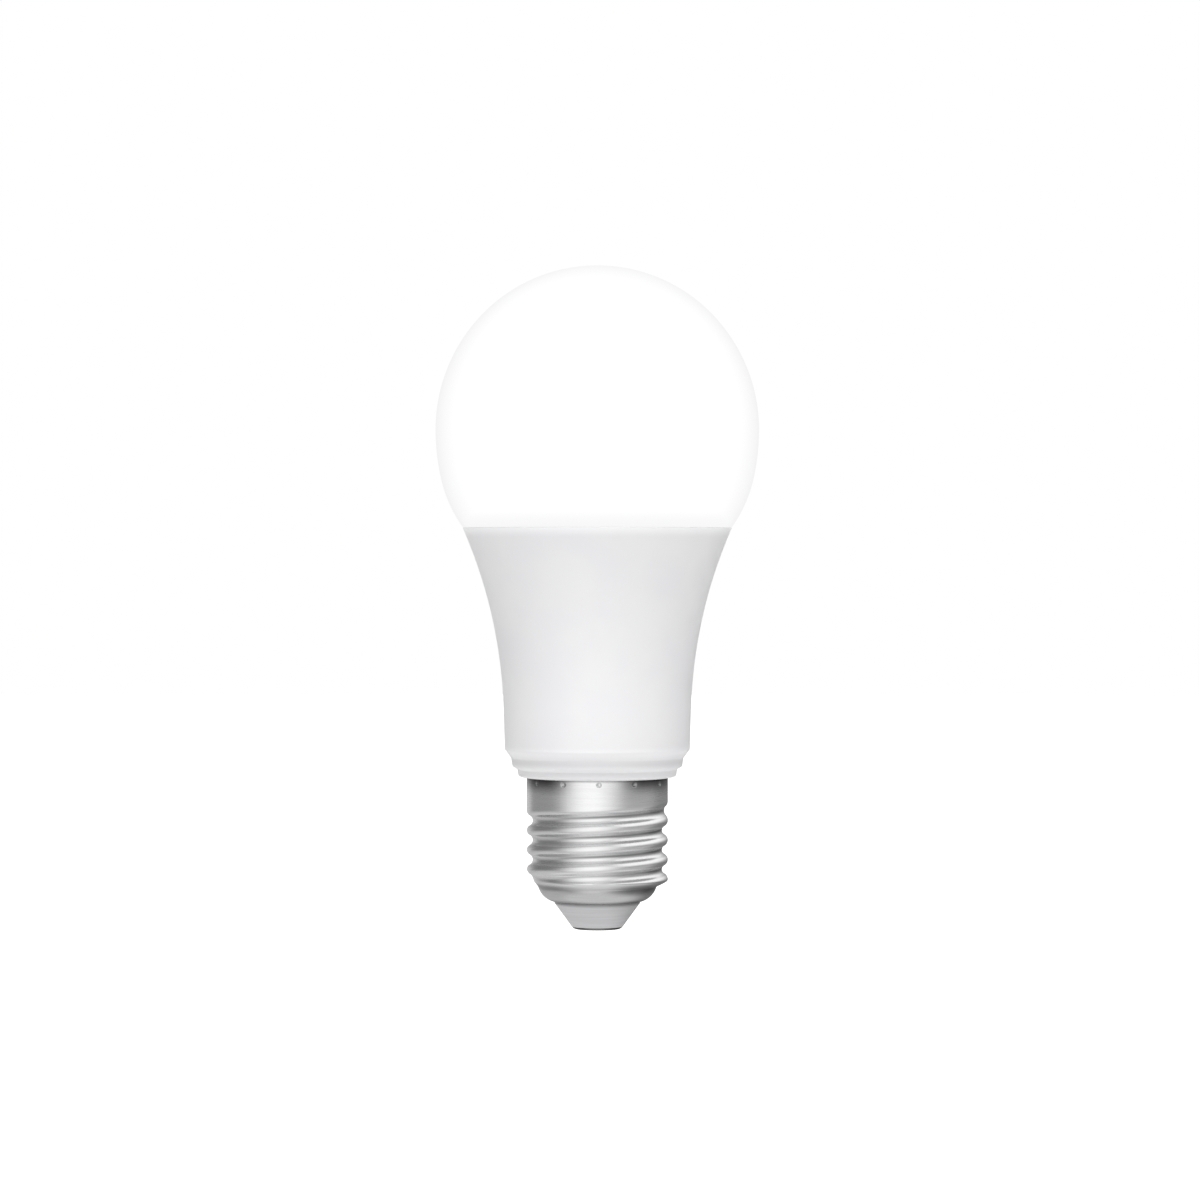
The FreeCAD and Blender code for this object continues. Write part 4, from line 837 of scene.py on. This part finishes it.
def wound_copper():
    """Enamelled wire laid side by side, with painted shade in the gaps between the turns."""
    finish = Finish("copper_wire", (0.72, 0.30, 0.12), 0.28, metallic=0.85)
    turns = finish.bands(0.22, "Z", 0.06)
    gap_shade = finish.spread(turns, 0.1, 0.5, 0.0, 1.0)
    finish.color(finish.blend(gap_shade, (0.22, 0.07, 0.03), (0.80, 0.36, 0.15)))
    finish.wear(0.2, 0.36, 1.0)
    finish.set("Coat Weight", 0.6)
    return finish.material


def glowing_gel(name, color):
    """Phosphor gel in an LED's well: speckled, glossy, slightly sunk in look."""
    finish = Finish(name, color, 0.3)
    finish.mottle(tuple(value * 0.85 for value in color), color, 0.25)
    finish.grain(0.2, 0.01)
    finish.set("Coat Weight", 0.5)
    finish.set("Subsurface Weight", 0.2)
    finish.set("Subsurface Scale", 0.3 * MM)
    return finish.material


def glossy(finish, coat):
    """Lay a clear, shiny coat over a finish."""
    finish.set("Coat Weight", coat)
    finish.set("Coat Roughness", 0.12)
    return finish.material


def make_materials():
    """One material for each slot of the record."""
    return {
        "opal_plastic": opal_plastic(),
        "white_plastic": white_plastic(),
        "cap_nickel": cap_nickel(),
        "cap_insulator": turned_insulator(),
        "contact_metal": side_darkened_contact(),
        "silicone": plain_plastic("silicone", (0.80, 0.80, 0.78), 0.6).material,
        "aluminium": plain_metal("aluminium", (0.80, 0.81, 0.82), 0.36, (1.0, 1.0, 6.0)).material,
        "thermal_paste": plain_plastic("thermal_paste", (0.85, 0.85, 0.82), 0.5, 1.2, 0.03).material,
        "board_white": glossy(plain_plastic("board_white", (0.90, 0.90, 0.88), 0.3, 0.8, 0.004), 0.3),
        "led_package": plain_plastic("led_package", (0.90, 0.89, 0.84), 0.4, 0.1, 0.003).material,
        "phosphor_cool": glowing_gel("phosphor_cool", (0.92, 0.80, 0.16)),
        "phosphor_warm": glowing_gel("phosphor_warm", (0.93, 0.50, 0.07)),
        "screw_steel": plain_metal("screw_steel", (0.62, 0.62, 0.64), 0.26).material,
        "socket_plastic": plain_plastic("socket_plastic", (0.86, 0.83, 0.72), 0.45).material,
        "pin_metal": plain_metal("pin_metal", (0.86, 0.66, 0.30), 0.22, (1.0, 1.0, 5.0)).material,
        "board_green": circuit_board("board_green", (0.012, 0.10, 0.035), (0.03, 0.20, 0.07)),
        "board_black": circuit_board("board_black", (0.008, 0.009, 0.011), (0.02, 0.022, 0.026)),
        "antenna_copper": plain_metal("antenna_copper", (0.90, 0.62, 0.26), 0.24).material,
        "tin": plain_metal("tin", (0.74, 0.74, 0.73), 0.3).material,
        "solder": plain_metal("solder", (0.76, 0.76, 0.77), 0.2, depth_mm=0.012).material,
        "can_aluminium": plain_metal("can_aluminium", (0.82, 0.83, 0.84), 0.24, (1.0, 1.0, 8.0)).material,
        "sleeve_dark": glossy(plain_plastic("sleeve_dark", (0.02, 0.024, 0.045), 0.3, 1.5, 0.01), 0.6),
        "film_yellow": glossy(plain_plastic("film_yellow", (0.72, 0.42, 0.03), 0.35), 0.4),
        "ferrite": plain_plastic("ferrite", (0.055, 0.055, 0.06), 0.5, 0.12, 0.012).material,
        "copper_wire": wound_copper(),
        "resistor_coat": glossy(plain_plastic("resistor_coat", (0.10, 0.22, 0.17), 0.4), 0.4),
        "varistor_blue": glossy(plain_plastic("varistor_blue", (0.02, 0.07, 0.36), 0.35, 0.7, 0.02), 0.6),
        "chip_black": plain_plastic("chip_black", (0.022, 0.022, 0.024), 0.55, 0.08, 0.006).material,
        "chip_ceramic": plain_plastic("chip_ceramic", (0.52, 0.38, 0.22), 0.4, 0.15, 0.006).material,
        "chip_resistor_black": plain_plastic("chip_resistor_black", (0.03, 0.03, 0.033), 0.35).material,
        "bobbin_plastic": plain_plastic("bobbin_plastic", (0.03, 0.03, 0.032), 0.42).material,
        "tape_yellow": glossy(plain_plastic("tape_yellow", (0.85, 0.58, 0.04), 0.3, 2.0, 0.01), 0.5),
        "wire_red": plain_plastic("wire_red", (0.45, 0.015, 0.012), 0.45).material,
        "wire_white": plain_plastic("wire_white", (0.80, 0.80, 0.77), 0.45).material,
    }


def dress(item, material):
    """Put one material on every face of an object."""
    item.data.materials.clear()
    item.data.materials.append(material)
    for polygon in item.data.polygons:
        polygon.material_index = 0


# ---------------------------------------------------------------- camera, lights and floor

# The camera, lights and floor are placed in metres.
CAMERA_DISTANCE = 0.840
CAMERA_SIDE = 0.0005
EYE_HEIGHT = 0.0706
CAMERA_PITCH = 0.65
LENS = 135.8
SENSOR_WIDTH = 36.0
CLIP_NEAR = 0.01
CLIP_FAR = 50.0


def add_camera():
    data = bpy.data.cameras.new("camera")
    data.lens = LENS
    data.sensor_width = SENSOR_WIDTH
    data.clip_start = CLIP_NEAR
    data.clip_end = CLIP_FAR
    camera = bpy.data.objects.new("camera", data)
    camera.location = (CAMERA_SIDE, -CAMERA_DISTANCE, EYE_HEIGHT)
    camera.rotation_euler = (math.radians(90.0 - CAMERA_PITCH), 0.0, 0.0)
    bpy.context.scene.collection.objects.link(camera)
    bpy.context.scene.camera = camera


# Lights that shade the bulb: name, azimuth, elevation, distance, width, height and watts.
LIGHTS = (
    ("above", -2.0, 58.0, 1.1, 0.8, 0.6, 10.6),
    ("side_right", 100.0, 8.0, 1.1, 0.4, 0.9, 0.76),
)
LIT_POINT = (0.0, 0.0, 0.06)


def add_light(name, azimuth, elevation, distance, width, height, power):
    """A rectangular soft light that looks at the middle of the bulb and isn't seen itself."""
    data = bpy.data.lights.new(name, "AREA")
    data.shape = "RECTANGLE"
    data.size = width
    data.size_y = height
    data.energy = power
    light = bpy.data.objects.new(name, data)
    turn, lift = math.radians(azimuth), math.radians(elevation)
    away = Vector((math.sin(turn) * math.cos(lift), -math.cos(turn) * math.cos(lift), math.sin(lift)))
    light.location = Vector(LIT_POINT) + away * distance
    light.rotation_euler = away.to_track_quat("Z", "Y").to_euler()
    light.visible_camera = False
    light.visible_glossy = False
    bpy.context.scene.collection.objects.link(light)


WORLD_SEEN = 1.0
WORLD_FILL = 0.41
WORLD_DARK = 0.22

# What the gloss sees: azimuths and elevations in degrees, the softness of the edges, the level.
# Every level is above WORLD_DARK, which is what shows between them.
SOFT_BOXES = (
    ((-52, 33), (-54, 62), 38, 1.31),
    ((30, 162), (12, 76), 18, 1.27),
    ((30, 108), (-60, -2), 16, 0.56),
    ((-180, -60), (-70, -10), 20, 0.65),
    ((-185, -136), (-20, 14), 12, 0.68),
    ((-200, 200), (58, 130), 16, 0.87),
    ((-200, 200), (-130, -44), 16, 0.88),
)


class Studio(Nodes):
    """World nodes: what the bulb's gloss sees, laid out by compass direction and height."""

    def __init__(self):
        world = bpy.data.worlds.new("studio")
        bpy.context.scene.world = world
        world.cycles.sampling_method = "NONE"
        world.use_nodes = True
        self.tree = world.node_tree
        self.tree.nodes.clear()
        split = self.node("SeparateXYZ")
        self.link(self.node("TexCoord").outputs["Generated"], split.inputs["Vector"])
        turn = self.math("ARCTAN2", split.outputs["X"], self.math("MULTIPLY", split.outputs["Y"], -1.0))
        self.azimuth = self.math("MULTIPLY", turn, math.degrees(1.0))
        self.elevation = self.math("MULTIPLY", self.math("ARCSINE", split.outputs["Z"]), math.degrees(1.0))

    def rise(self, source, middle, softness):
        """Go from 0 to 1 across a soft edge."""
        return self.spread(source, middle - softness, middle + softness, 0.0, 1.0)

    def soft_box(self, azimuths, elevations, softness, level):
        """A patch of light between two azimuths and two elevations in degrees."""
        light = 1.0
        for source, (low, high) in ((self.azimuth, azimuths), (self.elevation, elevations)):
            light = self.math("MULTIPLY", light, self.rise(source, low, softness))
            beyond = self.rise(source, high, softness)
            light = self.math("MULTIPLY", light, self.math("SUBTRACT", 1.0, beyond))
        return self.math("ADD", WORLD_DARK, self.math("MULTIPLY", light, level - WORLD_DARK))

    def show(self, reflected):
        """White to the camera, an even fill to soft light, and the laid-out room in reflections."""
        path = self.node("LightPath")
        levels = reflected
        for ray, level in (("Is Diffuse Ray", WORLD_FILL), ("Is Camera Ray", WORLD_SEEN)):
            mix = self.node("Mix")
            mix.data_type = "FLOAT"
            self.link(path.outputs[ray], mix.inputs["Factor"])
            self.link(levels, mix.inputs["A"])
            mix.inputs["B"].default_value = level
            levels = mix.outputs["Result"]
        background = self.node("Background")
        background.inputs["Color"].default_value = WHITE
        self.link(levels, background.inputs["Strength"])
        self.link(background.outputs["Background"], self.node("OutputWorld").inputs["Surface"])


def add_world():
    studio = Studio()
    seen = WORLD_DARK
    for azimuths, elevations, softness, level in SOFT_BOXES:
        seen = studio.math("MAXIMUM", seen, studio.soft_box(azimuths, elevations, softness, level))
    studio.show(seen)


FLOOR_DEPTH = 0.15
FLOOR_HALF = 6.0
FLOOR_FILL = 0.475


def add_floor():
    """A wide pale floor well below the hanging bulb."""
    half, level = FLOOR_HALF, -FLOOR_DEPTH
    corners = [(-half, -half, level), (half, -half, level), (half, half, level), (-half, half, level)]
    mesh = bpy.data.meshes.new("floor")
    mesh.from_pydata(corners, [], [(0, 1, 2, 3)])
    floor = bpy.data.objects.new("floor", mesh)
    bpy.context.scene.collection.objects.link(floor)
    finish = Finish("floor_white", (0.75, 0.75, 0.75), 0.8)
    finish.mottle((0.74, 0.74, 0.74), (0.76, 0.76, 0.76), 60.0)
    path = finish.node("LightPath")
    fill = finish.math("MULTIPLY", path.outputs["Is Diffuse Ray"], FLOOR_FILL)
    finish.glow(finish.math("ADD", path.outputs["Is Camera Ray"], fill))
    floor.visible_glossy = False
    dress(floor, finish.material)


# ---------------------------------------------------------------- scene

materials = make_materials()
slots = {part["node"]: part["material_slot"] for part in frame["record"]["subparts"]}

OUTER_PIECES = {
    "diffuser": build_diffuser,
    "housing": build_housing,
    "screw_shell": build_screw_shell,
    "insulator": build_insulator,
    "centre_contact": build_contact,
}

for node, build in OUTER_PIECES.items():
    piece = build()
    dress(piece, materials[slots[node]])
    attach(piece, "root")
    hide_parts(node)

for node, item in frame["nodes"].items():
    if node not in OUTER_PIECES:
        dress(item, materials[slots[node]])

add_camera()
add_world()
add_floor()
for light in LIGHTS:
    add_light(*light)
bpy.context.scene.view_settings.view_transform = "Standard"
